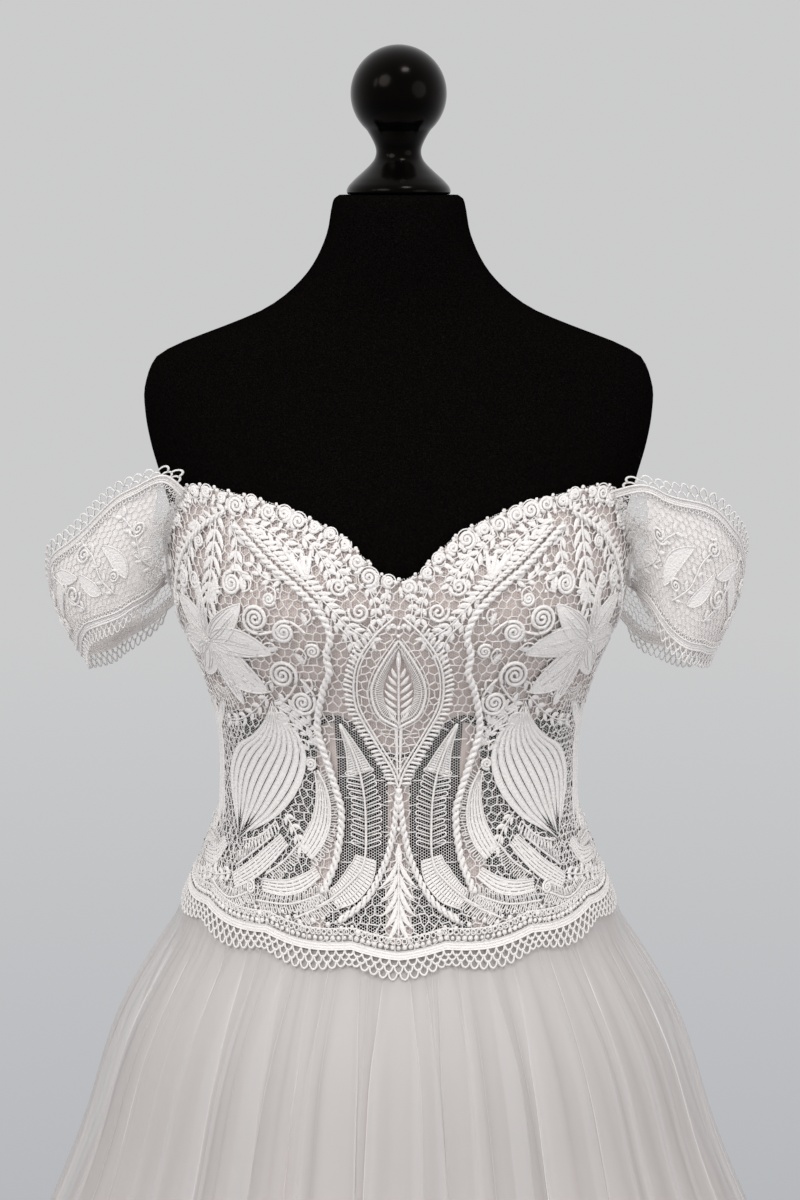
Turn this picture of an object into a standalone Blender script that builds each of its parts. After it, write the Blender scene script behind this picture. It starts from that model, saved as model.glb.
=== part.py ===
"""A wedding dress on a limbless dress form that stands on its own round base.

Metres, +Z up. The dress faces -Y and +X is on the viewer's right. The origin is on the floor, under the pole.
Angles run round the figure from 0 at the centre front, through 90 at the +X side, to 180 at the centre back.
"""

import math
from collections import namedtuple

import bmesh
import bpy
from mathutils import Vector

# Driving dimensions
NECK_TOP = 1.533
FORM_BOTTOM = 0.850
BASE_RADIUS = 0.170
BASE_THICKNESS = 0.006
POLE_RADIUS = 0.0125
FINIAL_RADIUS = 0.0356
FINIAL_CENTRE = 1.6070
SEAM_GAP = 0.0003
SEAM_RADIUS = 0.09

LACE_THICKNESS = 0.0020
NET_THICKNESS = 0.0010
NUDE_THICKNESS = 0.0010
SLEEVE_THICKNESS = 0.0014

# How deep each inner layer's outer face lies under the lace's outer face.
NET_DEPTH = 0.0024
NUDE_DEPTH = 0.0043
SLEEVE_LINING_DEPTH = 0.0022
SKIRT_TOP_DROP = 0.0007

SCALLOPS_PER_QUARTER = 3.5
SCALLOP_DEPTH = 0.010
COLUMNS_PER_SCALLOP = 4
BODICE_ROWS = 7
BODICE_SHARES = [k / BODICE_ROWS for k in range(BODICE_ROWS + 1)]

BUST_HEIGHT = 1.238
BUST_RISE = 0.052
BUST_ANGLE = math.radians(36)
BUST_SPREAD = math.radians(27)
BUST_DEPTH = 0.014

BUTTON_COUNT = 9
BUTTON_RADIUS = 0.0055
BUTTON_HEIGHT = 0.0040
BUTTON_TOP = 1.246
BUTTON_STEP = 0.0265
BUTTON_LIFT = 0.0006

FOLDS_PER_TURN = 30
POINTS_PER_FOLD = 4

# Tables. Every width and depth is measured from the pole's axis.
Ring = namedtuple("Ring", "z half_width front back")
Turned = namedtuple("Turned", "z radius")
Edge = namedtuple("Edge", "degrees z")
CupEdge = namedtuple("CupEdge", "degrees share")
Fold = namedtuple("Fold", "z depth")
Rim = namedtuple("Rim", "along x y z")
Layer = namedtuple("Layer", "top_depth thickness inset folding slot")

FORM = [
    Ring(0.850, 0.146, 0.114, 0.114),
    Ring(0.856, 0.155, 0.122, 0.122),
    Ring(0.900, 0.160, 0.127, 0.127),
    Ring(0.950, 0.154, 0.119, 0.119),
    Ring(1.000, 0.144, 0.110, 0.106),
    Ring(1.045, 0.135, 0.103, 0.092),
    Ring(1.090, 0.129, 0.0985, 0.080),
    Ring(1.130, 0.130, 0.0995, 0.079),
    Ring(1.170, 0.139, 0.1065, 0.084),
    Ring(1.205, 0.151, 0.1125, 0.090),
    Ring(1.235, 0.161, 0.1160, 0.095),
    Ring(1.265, 0.166, 0.1130, 0.097),
    Ring(1.295, 0.171, 0.1045, 0.0975),
    Ring(1.325, 0.1795, 0.091, 0.096),
    Ring(1.350, 0.1865, 0.080, 0.094),
    Ring(1.370, 0.1900, 0.070, 0.090),
    Ring(1.385, 0.191, 0.064, 0.084),
    Ring(1.400, 0.188, 0.058, 0.078),
    Ring(1.413, 0.1815, 0.054, 0.072),
    Ring(1.424, 0.162, 0.050, 0.067),
    Ring(1.435, 0.133, 0.047, 0.063),
    Ring(1.450, 0.098, 0.045, 0.060),
    Ring(1.465, 0.078, 0.0455, 0.058),
    Ring(1.480, 0.065, 0.047, 0.056),
    Ring(1.495, 0.057, 0.0485, 0.054),
    Ring(1.508, 0.0525, 0.0490, 0.0520),
    Ring(1.524, 0.0498, 0.0485, 0.0500),
    Ring(1.530, 0.0480, 0.0470, 0.0485),
    Ring(NECK_TOP, 0.0440, 0.0435, 0.0445),
]

BODICE = [
    Ring(0.955, 0.1880, 0.1640, 0.160),
    Ring(0.975, 0.1785, 0.1540, 0.149),
    Ring(1.000, 0.1680, 0.1400, 0.134),
    Ring(1.015, 0.1610, 0.1310, 0.124),
    Ring(1.030, 0.1545, 0.1235, 0.115),
    Ring(1.045, 0.1485, 0.1165, 0.106),
    Ring(1.060, 0.1430, 0.1115, 0.0985),
    Ring(1.083, 0.1372, 0.1068, 0.0895),
    Ring(1.113, 0.1370, 0.1062, 0.0870),
    Ring(1.143, 0.1405, 0.1092, 0.0890),
    Ring(1.173, 0.1495, 0.1165, 0.0940),
    Ring(1.203, 0.1610, 0.1240, 0.1000),
    Ring(1.233, 0.1715, 0.1280, 0.1050),
    Ring(1.263, 0.1760, 0.1250, 0.1070),
    Ring(1.293, 0.1800, 0.1160, 0.1070),
    Ring(1.330, 0.1820, 0.0990, 0.1040),
]

SKIRT = [
    Ring(0.012, 0.5900, 0.590, 0.590),
    Ring(0.200, 0.5100, 0.506, 0.508),
    Ring(0.400, 0.4250, 0.414, 0.418),
    Ring(0.600, 0.3380, 0.320, 0.324),
    Ring(0.753, 0.2710, 0.247, 0.249),
    Ring(0.858, 0.2250, 0.199, 0.197),
    Ring(0.900, 0.2065, 0.180, 0.177),
    Ring(0.940, 0.1895, 0.1635, 0.160),
    Ring(0.960, 0.1805, 0.1550, 0.1505),
    Ring(0.980, 0.1710, 0.1455, 0.1405),
    Ring(1.010, 0.1570, 0.1285, 0.1220),
    Ring(1.030, 0.1505, 0.1195, 0.1110),
]

# How far the skirt's folds stand out at each height.
FOLD_DEPTHS = [
    Fold(0.012, 0.016),
    Fold(0.400, 0.013),
    Fold(0.753, 0.010),
    Fold(0.858, 0.0080),
    Fold(0.940, 0.0045),
    Fold(0.980, 0.0020),
    Fold(1.030, 0.0005),
]

# Each layer's depth under the bodice at its top edge, and how far inside the outer layer it hangs.
SKIRT_LAYERS = {
    "tulle": Layer(0.0028, 0.0015, 0, 1, "tulle"),
    "underlayer": Layer(0.0050, 0.0012, 0.0125, 0, "tulle"),
    "lining": Layer(0.0072, 0.0012, 0.0165, 0, "blush_lining"),
}

# The top edge of the bodice: a sweetheart front, peaks where the sleeves start, a plain back.
NECKLINE = [
    Edge(0, 1.262),
    Edge(4, 1.266),
    Edge(8, 1.278),
    Edge(13, 1.292),
    Edge(20, 1.303),
    Edge(31, 1.314),
    Edge(42, 1.3195),
    Edge(52, 1.323),
    Edge(60, 1.321),
    Edge(70, 1.300),
    Edge(80, 1.281),
    Edge(90, 1.273),
    Edge(120, 1.276),
    Edge(155, 1.272),
    Edge(180, 1.262),
]

# The line that the skirt is gathered on to, and the line through the hem's scallop points.
JOIN = [
    Edge(0, 0.998),
    Edge(11, 1.002),
    Edge(22, 1.0065),
    Edge(36, 1.014),
    Edge(50, 1.022),
    Edge(72, 1.030),
    Edge(90, 1.0335),
    Edge(135, 1.030),
    Edge(180, 1.020),
]
HEM = [Edge(0, 0.982), Edge(35, 0.990), Edge(60, 0.998), Edge(90, 1.006), Edge(135, 1.004), Edge(180, 0.996)]

# The cups' lower edge, as a share of the way from the neckline to the join, and the boning below it.
CUP_EDGE = [
    CupEdge(0, 0.500),
    CupEdge(17, 0.475),
    CupEdge(32, 0.540),
    CupEdge(50, 0.565),
    CupEdge(90, 0.565),
]
CUP_EDGE_GAP = 0.006
BONING_DEGREES = {"center": 0, "left": -23, "right": 23}
BONING_HALF_WIDTH = math.radians(3.4)

# Sleeve rims, from the front of the armhole, round the outside, to the back. x is the distance from the pole.
SLEEVE_TOP = {
    "left": [
        Rim(0.00, 0.152, -0.0625, 1.322),
        Rim(0.12, 0.172, -0.066, 1.336),
        Rim(0.25, 0.200, -0.060, 1.324),
        Rim(0.38, 0.229, -0.044, 1.297),
        Rim(0.50, 0.262, -0.016, 1.266),
        Rim(0.60, 0.266, 0.012, 1.240),
        Rim(0.75, 0.243, 0.045, 1.246),
        Rim(0.88, 0.200, 0.066, 1.275),
        Rim(1.00, 0.150, 0.064, 1.298),
    ],
    "right": [
        Rim(0.00, 0.148, -0.064, 1.322),
        Rim(0.12, 0.178, -0.066, 1.329),
        Rim(0.25, 0.206, -0.058, 1.319),
        Rim(0.38, 0.233, -0.042, 1.309),
        Rim(0.50, 0.256, -0.018, 1.284),
        Rim(0.60, 0.263, 0.008, 1.258),
        Rim(0.75, 0.246, 0.040, 1.252),
        Rim(0.88, 0.202, 0.064, 1.275),
        Rim(1.00, 0.150, 0.064, 1.298),
    ],
}
SLEEVE_LOW = {
    "left": [
        Rim(0.00, 0.1765, -0.022, 1.243),
        Rim(0.12, 0.189, -0.036, 1.231),
        Rim(0.25, 0.205, -0.042, 1.220),
        Rim(0.38, 0.223, -0.038, 1.212),
        Rim(0.50, 0.237, -0.018, 1.196),
        Rim(0.60, 0.2385, 0.008, 1.180),
        Rim(0.75, 0.222, 0.036, 1.182),
        Rim(0.88, 0.200, 0.050, 1.196),
        Rim(1.00, 0.1765, 0.030, 1.222),
    ],
    "right": [
        Rim(0.00, 0.1765, -0.022, 1.240),
        Rim(0.12, 0.186, -0.036, 1.230),
        Rim(0.25, 0.196, -0.046, 1.212),
        Rim(0.38, 0.212, -0.044, 1.197),
        Rim(0.50, 0.230, -0.024, 1.188),
        Rim(0.60, 0.240, 0.004, 1.186),
        Rim(0.75, 0.222, 0.032, 1.179),
        Rim(0.88, 0.198, 0.046, 1.184),
        Rim(1.00, 0.1765, 0.030, 1.215),
    ],
}
SLEEVE_SEAM_FRONT = {"top": 57, "low": 83}
SLEEVE_SEAM_BACK = {"top": 125, "low": 103}
SLEEVE_SEAM_REACH = 0.22
SLEEVE_SEAM_OUT = 0.0012
SLEEVE_MIDDLE = 0.19
SLEEVE_BELLY = 0.006
SLEEVE_COLUMNS = 16
SLEEVE_ROWS = 4

# The turned neck finial below its ball.
FINIAL_FOOT = [
    Turned(NECK_TOP + SEAM_GAP, 0.0374),
    Turned(1.5358, 0.0387),
    Turned(1.5400, 0.0370),
    Turned(1.5450, 0.0322),
    Turned(1.5530, 0.0230),
    Turned(1.5590, 0.0180),
    Turned(1.5645, 0.0167),
    Turned(1.5710, 0.0184),
    Turned(1.5800, 0.0232),
]

COLOURS = {
    "form_jersey": (0.006, 0.006, 0.007),
    "black_lacquer": (0.008, 0.007, 0.007),
    "black_metal": (0.02, 0.02, 0.02),
    "lace": (0.86, 0.83, 0.81),
    "net": (0.80, 0.78, 0.76),
    "nude_lining": (0.62, 0.50, 0.46),
    "tulle": (0.82, 0.79, 0.78),
    "blush_lining": (0.80, 0.72, 0.69),
    "covered_button": (0.84, 0.80, 0.78),
}
ROUGHNESS = {"black_lacquer": 0.15, "black_metal": 0.4}


def clear_scene():
    for obj in list(bpy.data.objects):
        bpy.data.objects.remove(obj)


def material(name):
    found = bpy.data.materials.get(name)
    if found:
        return found
    made = bpy.data.materials.new(name)
    made.use_nodes = True
    shader = made.node_tree.nodes["Principled BSDF"]
    shader.inputs["Base Color"].default_value = (*COLOURS[name], 1)
    shader.inputs["Roughness"].default_value = ROUGHNESS.get(name, 0.8)
    shader.inputs["Metallic"].default_value = 1.0 if name == "black_metal" else 0.0
    return made


def slopes(keys, values):
    """Slopes that keep a smooth curve through the values from overshooting them."""
    steps = [(values[i + 1] - values[i]) / (keys[i + 1] - keys[i]) for i in range(len(keys) - 1)]
    inner = [0 if a * b <= 0 else 2 * a * b / (a + b) for a, b in zip(steps, steps[1:])]
    return [steps[0], *inner, steps[-1]]


def curve_through(rows, at):
    """The row at a key between the table's first and last, on a smooth curve through its rows."""
    keys = [row[0] for row in rows]
    at = min(max(at, keys[0]), keys[-1])
    i = max(k for k in range(len(keys) - 1) if keys[k] <= at)
    span = keys[i + 1] - keys[i]
    t = (at - keys[i]) / span
    made = [at]
    for column in range(1, len(rows[0])):
        values = [row[column] for row in rows]
        slope = slopes(keys, values)
        made.append(
            (2 * t**3 - 3 * t**2 + 1) * values[i]
            + (t**3 - 2 * t**2 + t) * span * slope[i]
            + (3 * t**2 - 2 * t**3) * values[i + 1]
            + (t**3 - t**2) * span * slope[i + 1]
        )
    return type(rows[0])(*made)


def edge_height(edge, angle):
    return curve_through(edge, abs(math.degrees(angle))).z


def bust(angle, z):
    """How far the two cups stand out from the plain ring at this angle and height."""
    across = (abs(angle) - BUST_ANGLE) / BUST_SPREAD
    up = (z - BUST_HEIGHT) / BUST_RISE
    return BUST_DEPTH * math.exp(-across * across - up * up)


def on_rings(rings, angle, z, out=0.0):
    """A point on the body that these rings describe, moved out along the ring's normal."""
    ring = curve_through(rings, z)
    depth = ring.front if math.cos(angle) > 0 else ring.back
    normal = Vector((math.sin(angle) / ring.half_width, -math.cos(angle) / depth, 0)).normalized()
    place = Vector((ring.half_width * math.sin(angle), -depth * math.cos(angle), z))
    return place + normal * (out + bust(angle, z))


def hip_angles(start, end, count):
    """Angles that share the hem's length evenly between two angles."""
    steps = 200
    angles = [start + (end - start) * i / steps for i in range(steps + 1)]
    points = [on_rings(BODICE, a, 1.0) for a in angles]
    along = [0.0]
    for a, b in zip(points, points[1:]):
        along.append(along[-1] + (b - a).length)
    found, i = [], 0
    for k in range(count + 1):
        want = along[-1] * k / count
        while i < steps - 1 and along[i + 1] < want:
            i += 1
        t = (want - along[i]) / (along[i + 1] - along[i])
        found.append(angles[i] + (angles[i + 1] - angles[i]) * min(max(t, 0), 1))
    return found


def new_object(name, shape, slot):
    """An object from a bmesh, with its faces turned outwards and its sharp edges kept sharp."""
    bmesh.ops.recalc_face_normals(shape, faces=shape.faces)
    mesh = bpy.data.meshes.new(name)
    shape.to_mesh(mesh)
    shape.free()
    mesh.shade_smooth()
    mesh.set_sharp_from_angle(angle=math.radians(50))
    mesh.materials.append(material(slot))
    obj = bpy.data.objects.new(name, mesh)
    bpy.context.scene.collection.objects.link(obj)
    return obj


def wall(name, outer, inner, slot):
    """A cloth panel between two grids of points. A grid is a list of columns."""
    shape = bmesh.new()
    out, back = ([[shape.verts.new(point) for point in column] for column in grid] for grid in (outer, inner))
    last, rows = len(outer) - 1, len(outer[0]) - 1
    for i in range(last):
        for j in range(rows):
            shape.faces.new((out[i][j], out[i][j + 1], out[i + 1][j + 1], out[i + 1][j]))
            shape.faces.new((back[i][j], back[i + 1][j], back[i + 1][j + 1], back[i][j + 1]))
    around = (
        [(i, 0) for i in range(last)]
        + [(last, j) for j in range(rows)]
        + [(i, rows) for i in range(last, 0, -1)]
        + [(0, j) for j in range(rows, 0, -1)]
    )
    for (i, j), (k, m) in zip(around, around[1:] + around[:1]):
        shape.faces.new((out[i][j], out[k][m], back[k][m], back[i][j]))
    return new_object(name, shape, slot)


def stack(name, rings, slot):
    """A closed body through rings of points, from the lowest to the highest."""
    shape = bmesh.new()
    loops = [[shape.verts.new(point) for point in ring] for ring in rings]
    count = len(rings[0])
    for low, high in zip(loops, loops[1:]):
        for i in range(count):
            shape.faces.new((low[i], low[(i + 1) % count], high[(i + 1) % count], high[i]))
    shape.faces.new(reversed(loops[0]))
    shape.faces.new(loops[-1])
    return new_object(name, shape, slot)


def turned(name, profile, slot, sides):
    """A round body on the pole's axis."""
    turns = [2 * math.pi * i / sides for i in range(sides)]
    rings = [[Vector((row.radius * math.sin(a), -row.radius * math.cos(a), row.z)) for a in turns] for row in profile]
    return stack(name, rings, slot)


# The dress form and its stand


def form_torso(sides=40):
    angles = [2 * math.pi * i / sides - math.pi for i in range(sides)]
    rings = [[on_rings(FORM, angle, row.z) for angle in angles] for row in FORM]
    stack("form_torso", rings, "form_jersey")


def form_finial(sides=24, ball_steps=9):
    first = math.radians(116)
    ball = [
        Turned(FINIAL_CENTRE + FINIAL_RADIUS * math.cos(a), FINIAL_RADIUS * math.sin(a))
        for a in (first * (1 - i / ball_steps) for i in range(ball_steps))
    ]
    turned("form_finial", FINIAL_FOOT + ball, "black_lacquer", sides)


def form_stand(sides=24):
    rim = 0.002
    base = [
        Turned(0, BASE_RADIUS),
        Turned(BASE_THICKNESS - rim, BASE_RADIUS),
        Turned(BASE_THICKNESS, BASE_RADIUS - rim),
    ]
    pole = [
        Turned(BASE_THICKNESS + SEAM_GAP, POLE_RADIUS),
        Turned(FORM_BOTTOM - SEAM_GAP, POLE_RADIUS),
    ]
    turned("form_base", base, "black_metal", 2 * sides)
    turned("form_pole", pole, "black_metal", sides)


# The bodice


def scallop(quarters):
    """How far the hem hangs below its points, at a number of quarters round from the centre front."""
    return SCALLOP_DEPTH * abs(math.cos(math.pi * quarters * SCALLOPS_PER_QUARTER))


def angles_of(start, end, quarters):
    """A panel's column angles, between side edges drawn back by half a seam gap."""
    count = round(quarters * SCALLOPS_PER_QUARTER * COLUMNS_PER_SCALLOP)
    angles = hip_angles(start, end, count)
    back = math.copysign(SEAM_GAP / 2 / SEAM_RADIUS, end - start)
    return [angles[0] + back, *angles[1:-1], angles[-1] - back]


def panel_angles():
    """{panel: its column angles}, with the seams at the sides and at the centre back."""
    side, back = math.pi / 2, math.pi
    return {
        "front": angles_of(-side, side, 2),
        "back_right": angles_of(side, back, 1),
        "back_left": angles_of(-side, -back, 1),
    }


def bodice_point(angle, share, depth):
    """A point under the lace's facets, at a share of the way down from the neckline to the join."""
    top, low = edge_height(NECKLINE, angle), edge_height(JOIN, angle)
    row = min(int(share * BODICE_ROWS), BODICE_ROWS - 1)
    ends = [on_rings(BODICE, angle, top + (low - top) * k / BODICE_ROWS, -depth) for k in (row, row + 1)]
    return ends[0].lerp(ends[1], share * BODICE_ROWS - row)


def layer(name, angles, shares_at, depth, thickness, slot):
    grids = [[[bodice_point(angle, share, below) for share in shares_at(angle)] for angle in angles]
             for below in (depth, depth + thickness)]
    wall(name, *grids, slot)


def hem_trim(panel, angles, first, last):
    """The scalloped band under the join. first and last are its ends, in quarters round from the centre front."""
    grids = []
    for depth in (0, LACE_THICKNESS):
        grid = []
        for k, angle in enumerate(angles):
            top = edge_height(JOIN, angle) - SEAM_GAP
            low = edge_height(HEM, angle) - scallop(first + (last - first) * k / (len(angles) - 1))
            grid.append([on_rings(BODICE, angle, z, -depth) for z in (top, (top + low) / 2, low)])
        grids.append(grid)
    wall(f"hem_trim_{panel}", *grids, "lace")


def bodice():
    shares = BODICE_SHARES
    for panel, angles in panel_angles().items():
        layer(f"bodice_lace_{panel}", angles, lambda _: shares, 0, LACE_THICKNESS, "lace")
        layer(f"bodice_net_{panel}", angles, lambda _: shares, NET_DEPTH, NET_THICKNESS, "net")
        ends = (-1, 1) if panel == "front" else (1, 2)
        hem_trim(panel, angles, *ends)


def cup_edge(angle):
    """The cups' lower edge at an angle, as a share of the way down from the neckline to the join."""
    return curve_through(CUP_EDGE, abs(math.degrees(angle))).share


def cup_shares(angle):
    return [row for row in BODICE_SHARES if row < CUP_EDGE[0].share] + [cup_edge(angle)]


def boning_shares(angle):
    return [cup_edge(angle) + CUP_EDGE_GAP] + [row for row in BODICE_SHARES if row > CUP_EDGE[0].share]


def nude_linings():
    """Two cups down to their lower edge, then three boning channels from there down to the join."""
    front = panel_angles()["front"]
    middle, back = len(front) // 2, SEAM_GAP / 2 / SEAM_RADIUS
    for side, angles in (("left", [*front[:middle], -back]), ("right", [back, *front[middle + 1 :]])):
        layer(f"cup_lining_{side}", angles, cup_shares, NUDE_DEPTH, NUDE_THICKNESS, "nude_lining")
    for side, degrees in BONING_DEGREES.items():
        angles = [math.radians(degrees) + step * BONING_HALF_WIDTH for step in (-1, 0, 1)]
        layer(f"boning_{side}", angles, boning_shares, NUDE_DEPTH, NUDE_THICKNESS, "nude_lining")


def buttons(sides=10):
    """Covered buttons down the centre back, each a low dome lying on the lace panel's flat facets."""
    dome = [
        Turned(0, 0.80 * BUTTON_RADIUS),
        Turned(0.35 * BUTTON_HEIGHT, BUTTON_RADIUS),
        Turned(0.75 * BUTTON_HEIGHT, 0.80 * BUTTON_RADIUS),
        Turned(BUTTON_HEIGHT, 0.35 * BUTTON_RADIUS),
    ]
    seam = [bodice_point(math.pi, k / BODICE_ROWS, 0) for k in range(BODICE_ROWS + 1)]

    def on_seam(z):
        top, low = next((a, b) for a, b in zip(seam, seam[1:]) if b.z <= z)
        return top.lerp(low, (top.z - z) / (top.z - low.z))

    for k in range(BUTTON_COUNT):
        z = BUTTON_TOP - k * BUTTON_STEP
        below, middle, above = (on_seam(z + step) for step in (-BUTTON_RADIUS, 0, BUTTON_RADIUS))
        out = Vector((0, above.z - below.z, below.y - above.y)).normalized()
        hollow = max(0, ((below + above) / 2 - middle).dot(out))
        button = turned(f"button_{k + 1}", dome, "covered_button", sides)
        button.rotation_euler = out.to_track_quat("Z", "Y").to_euler()
        button.location = middle + out * (hollow + BUTTON_LIFT)


# The sleeves


def sleeve_seam(angles, heights, v):
    angle = math.radians(angles["top"] + (angles["low"] - angles["top"]) * v)
    return on_rings(BODICE, angle, heights[0] + (heights[1] - heights[0]) * v, SLEEVE_SEAM_OUT)


def sleeve_point(side, u, v):
    """A point on a sleeve's outer face. u runs round it and v runs down it."""
    tops, lows = SLEEVE_TOP[side], SLEEVE_LOW[side]
    place = Vector(curve_through(tops, u)[1:]).lerp(Vector(curve_through(lows, u)[1:]), v)
    away = Vector((place.x - SLEEVE_MIDDLE, place.y, 0)).normalized()
    place += away * SLEEVE_BELLY * math.sin(math.pi * v) * math.sin(math.pi * u)
    for end, seam in ((0, SLEEVE_SEAM_FRONT), (-1, SLEEVE_SEAM_BACK)):
        pull = max(0, 1 - abs(u + end) / SLEEVE_SEAM_REACH) ** 2
        loose = Vector(tops[end][1:]).lerp(Vector(lows[end][1:]), v)
        place += (sleeve_seam(seam, (tops[end].z, lows[end].z), v) - loose) * pull
    return place


def sleeve_grid(side, skipped, depth):
    """A grid on the sleeve, leaving out columns at each end, and moved inwards by a depth."""
    grid, step = [], 0.002
    sign = -1 if side == "left" else 1
    for i in range(skipped, SLEEVE_COLUMNS + 1 - skipped):
        column = []
        for j in range(SLEEVE_ROWS + 1):
            u, v = i / SLEEVE_COLUMNS, j / SLEEVE_ROWS
            round_it = sleeve_point(side, min(u + step, 1), v) - sleeve_point(side, max(u - step, 0), v)
            down_it = sleeve_point(side, u, min(v + step, 1)) - sleeve_point(side, u, max(v - step, 0))
            place = sleeve_point(side, u, v) + round_it.cross(down_it).normalized() * depth
            column.append(Vector((sign * place.x, place.y, place.z)))
        grid.append(column)
    return grid


def sleeves():
    inner = SLEEVE_LINING_DEPTH
    for side in ("left", "right"):
        grids = [sleeve_grid(side, 0, depth) for depth in (0, SLEEVE_THICKNESS)]
        wall(f"sleeve_lace_{side}", *grids, "lace")
        grids = [sleeve_grid(side, 2, depth) for depth in (inner, inner + NUDE_THICKNESS)]
        wall(f"sleeve_lining_{side}", *grids, "nude_lining")


# The skirt


def fold_share(angle, z):
    """From -1 in a fold's trough to 1 on its ridge. Folds are uneven, but a full ridge faces each quarter turn."""
    free = math.sin(2 * angle) ** 2
    turns = FOLDS_PER_TURN * angle / (2 * math.pi) + 0.5 * (FOLDS_PER_TURN % 4 > 0) * (1 - math.cos(2 * angle)) / 2
    width = free * (0.30 * math.sin(5 * angle + 0.7) + 0.20 * math.sin(11 * angle + 2.1))
    drift = free * 0.20 * math.sin(4 * angle + 3.1 * z)
    own = 1 - free * (0.25 - 0.25 * math.sin(3 * angle + 1.3) * math.sin(7 * angle + 0.4))
    return own * math.cos(2 * math.pi * (turns + width + drift))


def skirt_grid(angles, heights, layer_of, inwards):
    """Each column starts on the join, under the hem trim, and goes on down the skirt."""
    grid = []
    for angle in angles:
        near = (angle + math.pi) % (2 * math.pi) - math.pi
        top = edge_height(JOIN, near) - SKIRT_TOP_DROP
        column = [on_rings(BODICE, near, top, -layer_of.top_depth - inwards)]
        for z in heights:
            fold = 0.5 * curve_through(FOLD_DEPTHS, z).depth * fold_share(near, z) * layer_of.folding
            column.append(on_rings(SKIRT, near, z, fold - layer_of.inset - inwards))
        grid.append(column)
    return grid


def skirt_panel(name, kind, span, columns, heights):
    """A skirt panel across a span of two angles in degrees. Only the outer tulle is folded."""
    layer_of = SKIRT_LAYERS[kind]
    gap = math.degrees(SEAM_GAP / 2 / SEAM_RADIUS)
    start, end = span[0] + gap, span[1] - gap
    angles = [math.radians(start + (end - start) * k / columns) for k in range(columns + 1)]
    grids = [skirt_grid(angles, heights, layer_of, inwards) for inwards in (0, layer_of.thickness)]
    wall(name, *grids, layer_of.slot)


def skirt():
    gores = ("front", "side_front_right", "side_back_right", "back", "side_back_left", "side_front_left")
    width = 360 / len(gores)
    columns = round(FOLDS_PER_TURN * POINTS_PER_FOLD / len(gores))
    for k, gore in enumerate(gores):
        span = ((k - 0.5) * width, (k + 0.5) * width)
        skirt_panel(f"skirt_tulle_{gore}", "tulle", span, columns, (0.960, 0.870, 0.450, 0.012))
        skirt_panel(f"skirt_lining_{gore}", "lining", span, 6, (0.950, 0.450, 0.016))
    for half, span in (("front", (-90, 90)), ("back", (90, 270))):
        skirt_panel(f"skirt_underlayer_{half}", "underlayer", span, 18, (0.950, 0.450, 0.014))


def main():
    clear_scene()
    form_torso()
    form_finial()
    form_stand()
    bodice()
    nude_linings()
    buttons()
    sleeves()
    skirt()


main()
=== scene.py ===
"""The looks of a wedding dress on its limbless form: corded lace, net, gathered tulle, jersey, lacquer.

The bodice lace is drawn on flat cloth and then laid on the bodice. Its tables are in millimetres: x across
the cloth from the centre front (or centre back), y the height above the floor. h is how far a thread
stands off the cloth.
"""

import math

import bpy
import numpy as np
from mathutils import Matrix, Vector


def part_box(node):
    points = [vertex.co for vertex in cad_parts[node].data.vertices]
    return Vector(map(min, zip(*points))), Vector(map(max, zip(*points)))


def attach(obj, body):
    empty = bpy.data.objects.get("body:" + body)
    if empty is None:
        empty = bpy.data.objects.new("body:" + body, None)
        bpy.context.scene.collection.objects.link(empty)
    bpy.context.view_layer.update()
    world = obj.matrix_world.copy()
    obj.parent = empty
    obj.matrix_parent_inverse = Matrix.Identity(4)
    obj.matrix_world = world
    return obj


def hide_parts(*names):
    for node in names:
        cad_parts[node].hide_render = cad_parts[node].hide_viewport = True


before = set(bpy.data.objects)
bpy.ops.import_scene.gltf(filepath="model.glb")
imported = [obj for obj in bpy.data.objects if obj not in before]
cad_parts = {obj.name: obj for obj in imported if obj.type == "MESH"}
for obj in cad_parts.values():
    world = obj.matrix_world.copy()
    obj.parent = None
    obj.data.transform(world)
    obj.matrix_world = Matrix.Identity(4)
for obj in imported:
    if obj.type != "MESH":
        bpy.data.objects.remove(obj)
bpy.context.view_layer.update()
rng = np.random.default_rng(11)

# ---------------------------------------------------------------- shapes shared with the solids

FORM = [
    (0.850, 0.146, 0.114, 0.114), (0.856, 0.155, 0.122, 0.122), (0.900, 0.160, 0.127, 0.127),
    (0.950, 0.154, 0.119, 0.119), (1.000, 0.144, 0.110, 0.106), (1.045, 0.135, 0.103, 0.092),
    (1.090, 0.129, 0.0985, 0.080), (1.130, 0.130, 0.0995, 0.079), (1.170, 0.139, 0.1065, 0.084),
    (1.205, 0.151, 0.1125, 0.090), (1.235, 0.161, 0.1160, 0.095), (1.265, 0.166, 0.1130, 0.097),
    (1.295, 0.171, 0.1045, 0.0975), (1.325, 0.1795, 0.091, 0.096), (1.350, 0.1865, 0.080, 0.094),
    (1.370, 0.1900, 0.070, 0.090), (1.385, 0.191, 0.064, 0.084), (1.400, 0.188, 0.058, 0.078),
    (1.413, 0.1815, 0.054, 0.072), (1.424, 0.162, 0.050, 0.067), (1.435, 0.133, 0.047, 0.063),
    (1.450, 0.098, 0.045, 0.060), (1.465, 0.078, 0.0455, 0.058), (1.480, 0.065, 0.047, 0.056),
    (1.495, 0.057, 0.0485, 0.054), (1.508, 0.0525, 0.0490, 0.0520), (1.524, 0.0498, 0.0485, 0.0500),
    (1.530, 0.0480, 0.0470, 0.0485), (1.533, 0.0440, 0.0435, 0.0445),
]
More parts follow.
